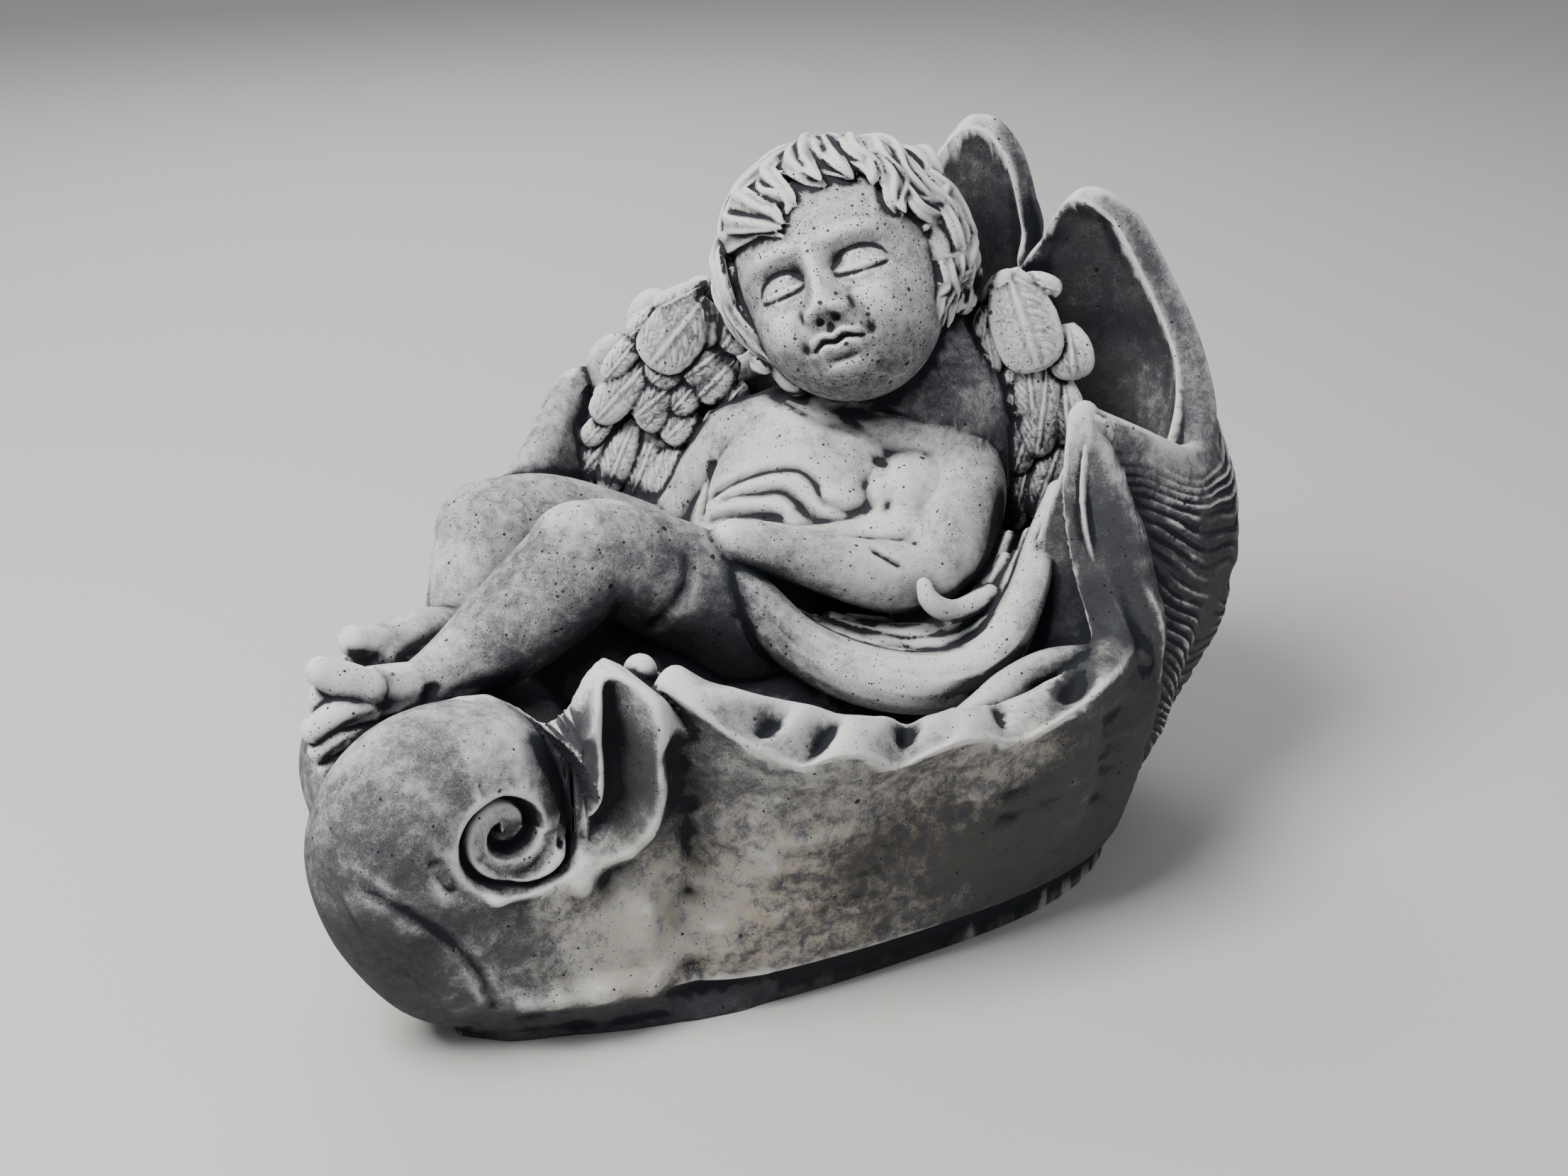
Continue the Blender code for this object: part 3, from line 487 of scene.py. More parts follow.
# The head: a calm sleeping child's, on plain proportions
headPlan = {
    "middle": (51.0, 40.0, 233.0), "size": 1.06,
    "look": (-0.710, -0.596, 0.375), "lean": 25.0,  # the way that the face looks, and how far the crown leans
    # eggs that melt into the skull: centre (left, up, out) and half widths
    "eggs": (((0, 6, -6), (42, 43, 43)), ((0, -12, 5), (35, 35, 32)), ((0, 10, 9), (33, 27, 28))),
    "heart": (0.0, -4.0, 2.0),  # the point that the skull is seen from
    # soft swellings and dips of the face: left, up, half widths, height, both sides
    "swells": (
        (19.5, -16, 12, 12, 4.6, True), (0, -37, 10, 6.5, 5.5, False), (0, -25, 12, 7.5, 3.0, False),
        (25, -25, 10, 9, 2.6, True), (0, 17, 20, 12, 1.6, False), (15, 9.5, 10, 3.4, 2.2, True),
        (15.2, -1.0, 9.0, 6.4, -4.4, True), (8.2, 0.6, 3.2, 3.8, -2.4, True), (0, -1, 3.4, 9, 3.4, False),
        (0, -10, 4.0, 6.0, 4.6, False), (0, -15.2, 5.0, 4.2, 7.0, False), (5.2, -16.6, 2.8, 2.6, 4.2, True),
        (9.6, -16, 1.6, 3.6, -1.2, True), (3.0, -19.6, 1.5, 1.2, -3.2, True),
        (0, -21.6, 1.3, 2.4, -1.0, False), (12.6, -26.6, 2.2, 2.2, -1.7, True),
        (0, -33.6, 8, 1.8, -1.8, False), (13, -22, 2.0, 6.0, -0.7, True),
    ),
    "lids": {"at": (15.4, -2.6), "half": (9.2, 6.4), "height": 4.4},
    "mouth": {"line": -27.4, "half": 10.5},
}


def headAxes():
    # Columns: to the head's left, up through the crown, and out of the face.
    out = unitLong(np.array(headPlan["look"]))
    left = unitLong(np.cross(np.array([0.0, 0.0, 1.0]), out))
    up = np.cross(out, left)
    lean = np.radians(headPlan["lean"])
    crown = up * np.cos(lean) - left * np.sin(lean)
    return np.stack([np.cross(crown, out), crown, out], 1)


axesOfHead = headAxes()


def onHead(points):
    # The head's middle plus its size times (left, up, out) along its axes.
    return np.array(headPlan["middle"]) + headPlan["size"] * np.asarray(points, float) @ axesOfHead.T


def faceRelief(x, y):
    # A sum of bells, a dome for each closed lid with a line under it, and two lips about a curved line.
    relief = np.zeros_like(x)
    for left, up, wide, tall, height, both in headPlan["swells"]:
        for side in (-1, 1) if both else (1,):
            relief += height * np.exp(-((x - side * left) / wide) ** 2 - ((y - up) / tall) ** 2)
    lids = headPlan["lids"]
    for side in (-1, 1):
        u = (x * side - lids["at"][0]) / lids["half"][0]
        v = (y - lids["at"][1]) / lids["half"][1]
        relief += lids["height"] * np.clip(1 - u * u - v * v, 0, 1) ** 1.15
        inside = ease((1.12 - np.abs(u)) / 0.3)
        lash = lids["at"][1] - 2.2 - 1.5 * (1 - u * u)
        relief -= 1.25 * bell(y - lash, 0.75) * inside
        relief += 0.55 * bell(y - lash - 1.6, 0.9) * inside
        fold = lids["at"][1] + 4.9 * np.sqrt(np.clip(1.05 - u * u, 0, 1)) + 0.7
        relief -= 0.9 * bell(y - fold, 0.8) * ease((1.2 - np.abs(u)) / 0.3)
        relief -= 0.5 * bell(y - lash + 5.0 + 1.2 * u * u, 1.0) * ease((1.0 - np.abs(u)) / 0.5)
    mouth = headPlan["mouth"]
    w = x / mouth["half"]
    line = mouth["line"] + 0.7 * bell(np.abs(w) - 0.42, 0.22) - 0.5 * bell(w, 0.18) - 0.9 * w * w
    closing = np.clip(1 - w * w, 0, 1)
    lower = np.clip(1 - (w * 1.25) ** 2, 0, 1)
    relief += 2.9 * closing**0.6 * bell(y - line - 1.9, 1.7) + 3.1 * lower**0.6 * bell(y - line + 2.5, 2.0)
    relief -= 2.6 * closing**0.4 * bell(y - line, 0.75)
    return relief


def head(rows=330, columns=460):
    # Rays from the heart of the skull: each ends at the power mean of its ways out of the eggs, and the
    # face's relief lifts it along the way that the face looks.
    polar = (np.pi * (np.linspace(0.004, 0.996, rows)) ** 1.12)[:, None]
    turn = 2 * np.pi * np.arange(columns) / columns
    ways = [np.sin(polar) * np.cos(turn), np.sin(polar) * np.sin(turn), np.cos(polar) + 0 * turn]
    ways = np.stack(ways, -1)
    heart = np.array(headPlan["heart"])
    total = 0
    for centre, half in headPlan["eggs"]:
        d, o = ways / np.array(half), (heart - np.array(centre)) / np.array(half)
        a, b, q = (d * d).sum(-1), (d * o).sum(-1), (o * o).sum() - 1
        total = total + ((-b + np.sqrt(b * b - a * q)) / a) ** 22
    points = heart + ways * (total ** (1 / 22))[..., None]
    front = ease((points[..., 2] - 2) / 14)
    points[..., 2] += faceRelief(points[..., 0], points[..., 1]) * front
    addRings(onHead(points), "head")
    for side in (-1, 1):
        ear = onHead((side * 38.5, -1, 9))
        axes = axesOfHead @ np.array([[0.5 * side, 0, -0.87], [0, 1, 0], [0.87, 0, 0.5 * side]])
        egg(ear, (3.2, 9.5, 6.2), "head", axes, 22)
        helix = ((38, 5, 14, 1.6), (41.5, 8, 9, 2.2), (42.5, 1, 3, 2.3), (39, -9, 8, 2.8))
        tube([(*onHead((side * left, up, out)), radius) for left, up, out, radius in helix], "head")
    neck = onHead((0, -30, -4))
    tube([(*neck, 21), (60, 42, 186, 22), (56, 40, 166, 26)], "flesh", side=(1, 0, 0), batch="limbs")


# The hair: wavy locks that run down from the crown
hairPlan = {
    # thickness, lift, then the way over the skull: degrees down from the crown, degrees round from the brow
    "locks": (
        (8.6, 3.6, ((14, -4), (26, -26), (40, -42), (55, -53), (68, -50), (77, -36), (83, -20), (91, -8))),
        (7.4, 4.6, ((20, 4), (34, -16), (48, -32), (61, -37), (72, -27), (80, -14), (88, -6))),
        (6.8, 3.4, ((22, 10), (38, -4), (54, -16), (66, -14), (76, -5), (84, -4))),
        (6.2, 4.2, ((16, 14), (34, 8), (52, 3), (65, 7), (75, 15))),
        (6.6, 3.2, ((20, 24), (38, 19), (54, 18), (66, 23), (74, 30))),
        (6.6, 4.4, ((14, 34), (32, 35), (48, 33), (60, 34), (71, 41), (80, 39))),
        (6.8, 3.4, ((18, 48), (36, 50), (54, 48), (66, 47), (77, 51), (87, 46), (94, 50))),
        (6.6, 4.2, ((24, 62), (42, 64), (58, 61), (72, 59), (82, 66), (87, 77), (94, 82))),
        (5.2, 3.6, ((68, 50), (80, 54), (87, 61), (89, 74), (96, 86), (106, 84), (112, 75))),
        (7.0, 3.2, ((40, 76), (56, 78), (70, 78), (84, 90), (98, 99), (110, 101), (120, 94))),
        (5.6, 3.2, ((96, 86), (108, 81), (118, 83), (126, 93), (136, 104))),
        (5.4, 2.2, ((112, 74), (122, 83), (130, 76), (140, 84))),
        (7.2, 3.4, ((30, -34), (46, -52), (60, -62), (74, -64), (86, -60), (98, -62), (110, -72))),
        (6.6, 3.8, ((40, -62), (56, -74), (72, -80), (88, -77), (102, -74), (116, -82), (128, -88))),
        (7.4, 1.6, ((84, -60), (96, -64), (108, -67), (122, -75), (136, -80), (148, -84))),
        (6.4, 2.2, ((58, -66), (70, -70), (84, -67), (98, -70), (112, -78), (126, -84))),
        (6.0, 3.0, ((60, 58), (74, 68), (88, 70), (100, 78), (112, 90), (124, 92))),
        (6.0, 2.6, ((84, 78), (96, 90), (108, 92), (118, 84), (130, 88), (140, 98))),
        (7.0, 0.8, ((106, -72), (120, -77), (134, -85), (148, -92))),
    ),
    # the rest: degrees down from the crown, how many, how long
    "rings": ((5, 9, 34), (27, 16, 38), (52, 19, 36), (76, 19, 32), (98, 16, 28)),
}


def overSkull(polar, turn, lift):
    # A point over the skull's egg: degrees down from the crown and round it from the brow, then its lift.
    tilt = np.radians(-14)
    p, t = np.radians(polar), np.radians(turn)
    x, y, z = np.sin(p) * np.sin(t), np.cos(p), np.sin(p) * np.cos(t)
    y, z = y * np.cos(tilt) - z * np.sin(tilt), y * np.sin(tilt) + z * np.cos(tilt)
    return onHead(np.stack([x * (42 + lift), 6 + y * (43 + lift), -6 + z * (43 + lift)], -1))


def lock(thick, lift, way, seed=0.0):
    # A flattened section with grooves, carried over the skull along the way, swelling and sinking as it goes.
    way = smoothThrough(way, 70)
    share = np.linspace(0, 1, 70)
    lift = lift + 1.5 * np.sin(share * 8 + seed) - 2.4 * (1 - share) ** 2 - 1.5 * share**4
    centres = overSkull(way[:, 0], way[:, 1], lift)
    swell = np.interp(share, [0, 0.12, 0.35, 0.6, 0.8, 0.93, 1], [0.3, 0.72, 1.0, 0.96, 0.72, 0.42, 0.08])
    wide = thick * headPlan["size"] * swell
    tangents = unitLong(np.gradient(centres, axis=0))
    out = centres - onHead((0, 4, -6))
    up = unitLong(out - tangents * (tangents * out).sum(-1, keepdims=True))
    across = np.cross(tangents, up)
    turn = (2 * np.pi * np.arange(48) / 48)[None, :]
    drift = 0.5 * np.sin(share * 6 + seed)[:, None]
    grooves = 1 - 0.34 * (0.5 - 0.5 * np.cos(4 * (turn - np.pi / 2) + drift)) ** 0.7 * (np.sin(turn) > -0.3)
    sideways, upward = np.cos(turn) * grooves, np.sin(turn) * grooves
    section = across[:, None] * sideways[..., None] + 0.74 * up[:, None] * upward[..., None]
    addRings(centres[:, None] + wide[:, None, None] * section, "hair")


def hair():
    # A cap, pairs of locks that frame the face, and rings of locks over the rest with small changes.
    egg(onHead((0, 10, -9)), np.array((43.5, 44.5, 42.5)) * headPlan["size"], "hair", axesOfHead, 40)
    egg(onHead((-31, -10, -5)), np.array((10.0, 26.0, 14.0)) * headPlan["size"], "hair", axesOfHead, 30)
    for n, (thick, lift, way) in enumerate(hairPlan["locks"]):
        way = np.array(way, float)
        run = np.gradient(way, axis=0)
        beside = unitLong(np.column_stack([-run[:, 1], run[:, 0]]))
        beside = beside * np.linspace(1, 0.35, len(way))[:, None] * thick * 0.40
        for hand, share in ((-1, 0.80), (1, 0.68)):
            drift = 2.2 * np.sin(np.arange(len(way)) * 1.6 + n + hand)[:, None] * unitLong(beside)
            lock(thick * share, lift + 1.2 + 0.9 * hand, way + hand * beside + drift, 1.7 * n + hand)
    draw = np.random.default_rng(12)
    for polar, count, length in hairPlan["rings"]:
        for k in range(count):
            turn = 360 * (k + draw.uniform(-0.2, 0.2)) / count + polar
            swing = draw.choice([-1, 1]) * draw.uniform(7, 12)
            phase, change = draw.uniform(0, 2), draw.uniform(0.85, 1.2)
            if abs((turn + 180) % 360 - 180) < (86 if polar > 20 else 70):
                continue
            steps = np.linspace(0, 1, 6)
            down = polar + length * change * steps
            aside = swing * np.sin(steps * 4.6 + phase) / np.maximum(np.sin(np.radians(down)), 0.35)
            lock(6.8 * change, 4.2 + 1.8 * (k % 2), np.column_stack([down, turn + aside]), k)


# The figure
def body():
    # Round sections carried along the limbs, and eggs for the chest, all fused and then smoothed.
    across = (0.80, -0.60, 0.0)
    tube([(6, 42, 84, 34), (14, 40, 104, 37), (24, 40, 126, 37), (40, 41, 148, 37), (54, 42, 166, 32),
          (60, 42, 178, 20)],
         "flesh", side=across, flat=1.08, batch="limbs", around=64)
    egg((33, 17, 150), (19, 17, 14), "flesh", batch="limbs")
    egg((58, 0, 154), (19, 16, 16), "flesh", batch="limbs")
    egg((18, 20, 128), (24, 26, 24), "flesh", batch="limbs")
    tube([(52, -8, 140, 16), (34, -6, 134, 16), (12, -4, 136, 14), (-6, 2, 140, 12)], "flesh",
         batch="limbs")
    tube([(24, 66, 160, 19), (44, 46, 169, 20), (80, 14, 163, 22)], "flesh", batch="limbs")
    # the left arm lies bent across the lap, and the right one hangs behind the knee
    tube([(84, 12, 160, 22), (77, -2, 148, 22.5), (64, -15, 137, 20.5), (51, -22, 130, 17)], "flesh",
         batch="limbs")
    tube([(56, -19, 130, 15), (36, -24, 131, 14.5), (12, -22, 140, 12.5), (-10, -14, 149, 10.5),
          (-26, -6, 153, 9)], "flesh", batch="limbs")
    tube([(20, 70, 160, 18), (9, 74, 148, 15), (-2, 76, 134, 13), (-18, 70, 122, 11)], "flesh",
         batch="limbs")
    # both knees are up, the near shin crosses over the far one, and the feet rest on the scroll
    tube([(4, 16, 94, 31), (-18, 8, 112, 29), (-44, 4, 134, 25), (-72, 3, 153, 22), (-86, 3, 158, 20)],
         "flesh", batch="limbs")
    tube([(-84, 3, 156, 21), (-98, 2, 146, 21), (-120, 1, 133, 18.5), (-142, 0, 123, 13.5),
          (-158, 0, 117, 11)], "flesh", batch="limbs")
    tube([(10, 66, 90, 29), (-28, 74, 112, 27), (-66, 77, 134, 24), (-92, 76, 140, 22)], "flesh",
         batch="limbs")
    tube([(-92, 75, 139, 21.5), (-102, 67, 129, 19), (-112, 56, 117, 15), (-120, 48, 110, 12)], "flesh",
         batch="limbs")
    tube([(-150, -2, 119, 12), (-164, -3, 121, 13), (-177, -4, 122, 14), (-185, -4, 126, 11)], "flesh",
         side=(0, 1, 0), flat=0.78, batch="limbs")
    tube([(-120, 48, 110, 13.5), (-136, 38, 118, 14), (-152, 28, 122, 13), (-161, 22, 126, 11)], "flesh",
         batch="limbs")


footPlan = {
    # each toe: root, middle and tip with its half width
    "near": (((-176, -9, 130, 7.5), (-185, -8, 136, 7), (-191, -7, 140, 5.6)),
             ((-178, -11, 124, 6.4), (-188, -13, 125, 6.0), (-197, -12, 121, 5)),
             ((-178, -13, 116, 5.6), (-188, -15, 117, 5.2), (-196, -13, 113, 4.4)),
             ((-177, -14, 109, 5.2), (-187, -16, 109.5, 4.8), (-194, -14, 106, 4.0)),
             ((-175, -14, 103, 4.8), (-184, -16, 102.5, 4.4), (-190, -14, 99.5, 3.8))),
    "far": (((-156, 24, 126, 8), (-164, 20, 132, 7.6), (-170, 18, 136, 6.2)),
            ((-158, 28, 119, 6), (-167, 26, 121, 5.6), (-174, 25, 119, 5))),
}


def feet():
    # Each toe is a round section carried through its three points.
    for toes in footPlan.values():
        for toe in toes:
            tube(toe, "flesh")


# The wings
wingPlan = {
    "right": {
        "middle": (-8.0, 97.0, 181.0), "across": (0.866, -0.50, 0.0), "up": (0.02, 0.30, 0.95),
        "blade": ((22, 34, 9), (2, 26, 11), (-14, 6, 12), (-18, -22, 12), (4, -20, 14), (20, -10, 16),
                  (16, 8, 14), (-26, -36, 8)),
        # root across and up, tip across and up, half width, lift off the blade
        "feathers": (
            (36, -40, 22, -58, 6, 0), (10, -27, -2, -50, 7, 2), (-13, -15, -33, -41, 7, 1),
            (-8, -17, -19, -43, 6, 3), (1, -22, -9, -47, 6, 1), (16, -27, 2, -52, 7.5, 3),
            (26, -21, 23, -44, 7, 1), (34, -16, 34, -34, 7, 1), (-17, -12, -28, -24, 4.5, 4),
            (18, -10, 6, -22, 6.5, 5), (33, -10, 25, -20, 6, 5), (8, -2, -3, -17, 6, 6),
            (38, 0, 30, -9, 6, 6), (-10, 3, -22, -6, 4.5, 6), (-1, 10, -22, -13, 7, 8),
            (12, 3, -6, -12, 6.5, 7), (20, 2, 9, -10, 6, 7), (34, 10, 20, -4, 7, 8), (14, 14, 1, 2, 7, 9),
            (28, 14, 14, 4, 7, 9), (-2, 23, -18, 4, 4.8, 9), (6, 32, -8, 21, 4.8, 10),
            (24, 33, 18, 18, 8, 10), (21, 34, 1, 10, 11, 13), (22, 41, 3, 32, 4.6, 11),
            (40, 30, 30, 16, 8, 8),
        ),
    },
    "left": {
        "middle": (112.0, 2.0, 188.0), "across": (0.866, -0.50, 0.0), "up": (0.10, 0.16, 0.98),
        "blade": ((-6, 34, 9), (0, 20, 12), (4, 2, 12), (4, -18, 12), (0, -40, 9)),
        "feathers": (
            (18, -18, 7, -52, 6, 2), (4, -30, -2, -58, 5, 1), (6, -6, -2, -34, 6, 3),
            (17, 2, 20, -22, 7, 4), (10, 9, 7, -26, 7, 5), (2, 12, 5, -12, 6, 5), (18, 24, 21, 5, 8, 6),
            (-15, 32, -16, 20, 4, 4), (-16, 28, -11, 6, 4, 4), (-6, 44, 6, 10, 12, 10),
            (-13, 41, -4, 46, 4, 7), (2, 45, 14, 40, 4, 7), (-4, 9, -4, 0, 3.4, 3),
            (-10, 4, -9, -6, 3.4, 2), (-4, 0, -3, -9, 3.4, 3), (0, -6, 0, -13, 3.4, 3),
            (-2, -13, -2, -20, 3.4, 2),
        ),
    },
}


def feather(root, tip, half, normal, thick=3.4, rows=60, around=64):
    # A flattened section carried from root to tip: its width swells and closes round. A quill stands along
    # its middle, and barbs are sines that slant away from the quill.
    along = tip - root
    length = np.linalg.norm(along)
    along = along / length
    across = np.cross(along, normal)
    share = np.linspace(0, 1, rows)
    width = half * np.interp(share, [0, 0.12, 0.3, 0.5, 0.7, 0.84, 0.93, 0.98, 1.0],
                             [0.35, 0.62, 0.88, 1.0, 1.0, 0.90, 0.70, 0.42, 0.10])
    depth = thick * np.interp(share, [0, 0.12, 0.3, 0.5, 0.7, 0.84, 0.95, 1.0],
                              [0.5, 0.8, 1.0, 1.0, 0.95, 0.80, 0.55, 0.15])
    turn = 2 * np.pi * np.arange(around) / around
    w, top = np.cos(turn)[None, :], np.sin(turn)[None, :]
    lift = depth[:, None] * top
    upper = np.clip(top, 0, 1) ** 0.5
    s = share[:, None] * length
    barbs = np.sin((s + np.abs(w) * half * 1.3 + 0.8 * np.sin(s * 0.9 + 5 * w)) * 2 * np.pi / 2.3)
    quill = 0.5 * bell(w, 0.08) - 0.35 * bell(np.abs(w) - 0.16, 0.08)
    lift = lift + upper * (quill + 0.30 * barbs * (1 - bell(w, 0.2)))
    centres = root + along * s + normal * (1.8 * np.sin(np.pi * share))[:, None]
    section = across * (w * width[:, None])[..., None] + normal * lift[..., None]
    addRings(centres[:, None] + section, "feather")


def wing(plan):
    # A thick blade behind, and rows of feathers laid over it like tiles.
    middle = np.array(plan["middle"])
    across = unitLong(np.array(plan["across"]))
    up = unitLong(np.array(plan["up"]) - across * (across @ np.array(plan["up"])))
    normal = np.cross(across, up)
    for u, v, size in plan["blade"]:
        axes = np.stack([across, normal, up], 1)
        egg(middle + across * u + up * v - normal * 7, (size * 1.15, 9, size * 1.3), "feather", axes, 16)
    for rootU, rootV, tipU, tipV, half, lift in plan["feathers"]:
        run = np.array((tipU - rootU, tipV - rootV)) * 0.12
        root = middle + across * (rootU - run[0]) + up * (rootV - run[1]) + normal * (lift - 4)
        tip = middle + across * (tipU + run[0] * 0.5) + up * (tipV + run[1] * 0.5) + normal * (lift - 0.5)
        along = tip - root
        facing = unitLong(normal - along * (normal @ along) / (along @ along))
        feather(root, tip, half * 1.16, facing)


# The cloth
drapePlan = {
    "slung": ((-40, 2, 154, 5), (-24, -13, 134, 9), (-8, -27, 113, 11), (14, -43, 101, 12),
              (38, -55, 98, 12), (60, -58, 105, 10.5), (80, -51, 122, 8.5), (94, -43, 142, 7),
              (104, -38, 158, 5)),
    # thinner folds beside it: how far in, how far up, half width, first and last share of the run
    "folds": ((8, 5.5, 5.5, 0.08, 0.92), (13, 9.5, 4.2, 0.16, 0.9), (17, 13, 4.6, 0.24, 0.85),
              (22, 15.5, 3.6, 0.30, 0.8), (26, 19, 4.8, 0.33, 0.8), (31, 22, 4, 0.36, 0.8),
              (-7.5, -8, 2.4, 0.10, 0.8), (-8.0, -13, 2.2, 0.14, 0.66)),
    "curl": ((36, -45, 136, 3.0), (37, -47, 131, 4.0), (42, -48, 126, 4.4), (52, -46, 122, 4.4),
             (70, -41, 122, 4.6)),
}


def drape():
    # A thick roll slung below the arm, with thinner folds laid beside it, each a section with fine ridges.
    slung = drapePlan["slung"]
    run = smoothThrough(slung, 90)
    tube(slung, "cloth", around=72, steps=220, ridges=13, ridgeDepth=0.010, waver=2.5)
    for inward, upward, thick, first, last in drapePlan["folds"]:
        part = run[int(first * 89):int(last * 89)]
        share = np.linspace(0, 1, len(part))
        sway = 1.2 * np.sin(share * 9 + inward) * (inward > 0)
        shape = thick * (0.55 + 0.45 * np.sin(np.pi * share)) * (1 + 0.12 * np.sin(share * 21 + inward))
        x, y, z = part[:, 0] + inward * 0.22, part[:, 1] + inward * 0.72 + sway, part[:, 2] + upward * 0.62
        knots = np.column_stack([x, y, z, shape])[::6]
        tube(knots, "cloth", steps=170, ridges=5, ridgeDepth=0.06, waver=2.0)
    tube(drapePlan["curl"], "cloth", steps=90)


def bedding():
    # Solid stone between the figure and the shell's floor.
    egg((10, 20, 62), (96, 62, 46), "shell")
    egg((-60, 34, 84), (66, 52, 46), "shell")
    egg((70, 30, 90), (62, 62, 66), "shell")
    egg((92, 44, 150), (44, 52, 78), "shell")
    egg((-128, 20, 84), (46, 44, 30), "shell")


def gathered(batch):
    # The forms of a batch as one array of points and one of triangles, with each point's layer.
    points, triangles, marks, start = [], [], [], 0
    for form, corners, layer in forms[batch]:
        points.append(form)
        triangles.append(corners + start)
        marks.append(np.full(len(form), layer))
        start += len(form)
    return np.concatenate(points), np.concatenate(triangles), np.concatenate(marks)


def meshFrom(name, points, corners):
    # A mesh of triangles from an array of points and one of each triangle's corners.
    mesh = bpy.data.meshes.new(name)
    mesh.vertices.add(len(points))
    mesh.vertices.foreach_set("co", np.asarray(points, np.float32).ravel())
    mesh.loops.add(len(corners) * 3)
    mesh.loops.foreach_set("vertex_index", np.asarray(corners, np.int32).ravel())
    mesh.polygons.add(len(corners))
    mesh.polygons.foreach_set("loop_start", np.arange(0, len(corners) * 3, 3, dtype=np.int32))
    mesh.update(calc_edges=True)
    return mesh


def placed(mesh, field="co"):
    # Points or normals of a mesh as one array.
    source = mesh.vertices if field == "co" else mesh.vertex_normals
    values = np.empty(len(mesh.vertices) * 3, np.float32)
    source.foreach_get("co" if field == "co" else "vector", values)
    return values.reshape(-1, 3).astype(float)


def finished(mesh, *steps):
    # The mesh after the given modifiers, each a type and its settings, as a new mesh.
    holder = bpy.data.objects.new("holder", mesh)
    bpy.context.scene.collection.objects.link(holder)
    for kind, settings in steps:
        modifier = holder.modifiers.new(kind.lower(), kind)
        for key, value in settings.items():
            setattr(modifier, key, value)
    bpy.context.view_layer.update()
    worked = holder.evaluated_get(bpy.context.evaluated_depsgraph_get())
    result = bpy.data.meshes.new_from_object(worked)
    bpy.data.objects.remove(holder)
    bpy.data.meshes.remove(mesh)
    return result


def triangles(mesh):
    # The corners of a mesh's triangles as one array.
    mesh.calc_loop_triangles()
    corners = np.empty(len(mesh.loop_triangles) * 3, np.int32)
    mesh.loop_triangles.foreach_get("vertices", corners)
    return corners.reshape(-1, 3)


body()
limbPoints, limbTriangles, _ = gathered("limbs")
limbs = finished(
    meshFrom("limbs", limbPoints, limbTriangles),
    ("REMESH", {"mode": "VOXEL", "voxel_size": working["fleshStep"] / unit, "use_smooth_shade": True}),
    ("SMOOTH", {"factor": 0.5, "iterations": working["fleshRelax"]}),
)
forms["stone"].append((placed(limbs), triangles(limbs), layers.index("flesh")))
print("figure fused:", len(limbs.vertices), "points")

outerWall = shell()
leaf()
ridges()
for size, plane, width in scrollPlan["drums"]:
    scroll(size, plane, width)
nearSide(outerWall)
head()
hair()
feet()
for plan in wingPlan.values():
    wing(plan)
drape()
bedding()
stonePoints, stoneTriangles, stoneMarks = gathered("stone")
print("forms laid out:", len(forms["stone"]), "with", len(stoneTriangles), "triangles")

# the forms reach under the floor, so that the cut leaves one flat underside
stonePoints = stonePoints + shift
stonePoints[:, 2] -= np.where(stonePoints[:, 2] <= 0.01, 6.0, 0.0)
loose = meshFrom("loose", stonePoints * unit, stoneTriangles)
mark = loose.attributes.new("layer", "FLOAT_COLOR", "POINT")
mark2 = loose.attributes.new("layer2", "FLOAT_COLOR", "POINT")
shown = np.zeros((len(stoneMarks), 8), np.float32)
shown[np.arange(len(stoneMarks)), stoneMarks] = 1
mark.data.foreach_set("color", np.ascontiguousarray(shown[:, :4]).ravel())
mark2.data.foreach_set("color", np.ascontiguousarray(shown[:, 4:]).ravel())
fuser = bpy.data.objects.new("fuser", loose)
bpy.context.scene.collection.objects.link(fuser)
bpy.context.view_layer.objects.active = fuser
fuser.select_set(True)
loose.remesh_voxel_size = working["stoneStep"]
loose.use_remesh_preserve_attributes = True
bpy.ops.object.voxel_remesh()
stone = fuser.data
print("stone fused:", len(stone.vertices), "points")


def hollows(mesh, rounds):
    # How far each point lies under the smoothed surface along its normal, in units: more than 0 in a hollow.
    soft = finished(mesh.copy(), ("SMOOTH", {"factor": 0.5, "iterations": rounds}))
    gap = ((placed(soft) - placed(mesh)) * placed(mesh, "normal")).sum(-1) / unit
    bpy.data.meshes.remove(soft)
    return gap


def crowding(points, normals, weights, reaches):
    # How much stone stands in front of each point: the surface's amount in a grid of boxes, blurred by a bell
    # along each axis, and read in front of the point at each reach, in metres.
    total = np.zeros(len(points))
    for reach in reaches:
        box = reach * 0.45
        low = points.min(0) - 4 * reach
        size = np.ceil((points.max(0) + 4 * reach - low) / box).astype(int)
        cell = ((points - low) / box).astype(int)
        flat = (cell[:, 0] * size[1] + cell[:, 1]) * size[2] + cell[:, 2]
        amount = np.bincount(flat, weights, size.prod()).reshape(size) / box**2
        kernel = np.exp(-np.linspace(-2, 2, 5) ** 2)
        for axis in range(3):
            amount = sum(k * np.roll(amount, n - 2, axis) for n, k in enumerate(kernel / kernel.sum()))
        seen = np.clip(((points + normals * reach * 1.35 - low) / box).astype(int), 0, size - 1)
        total += amount[seen[:, 0], seen[:, 1], seen[:, 2]]
    return total / len(reaches)


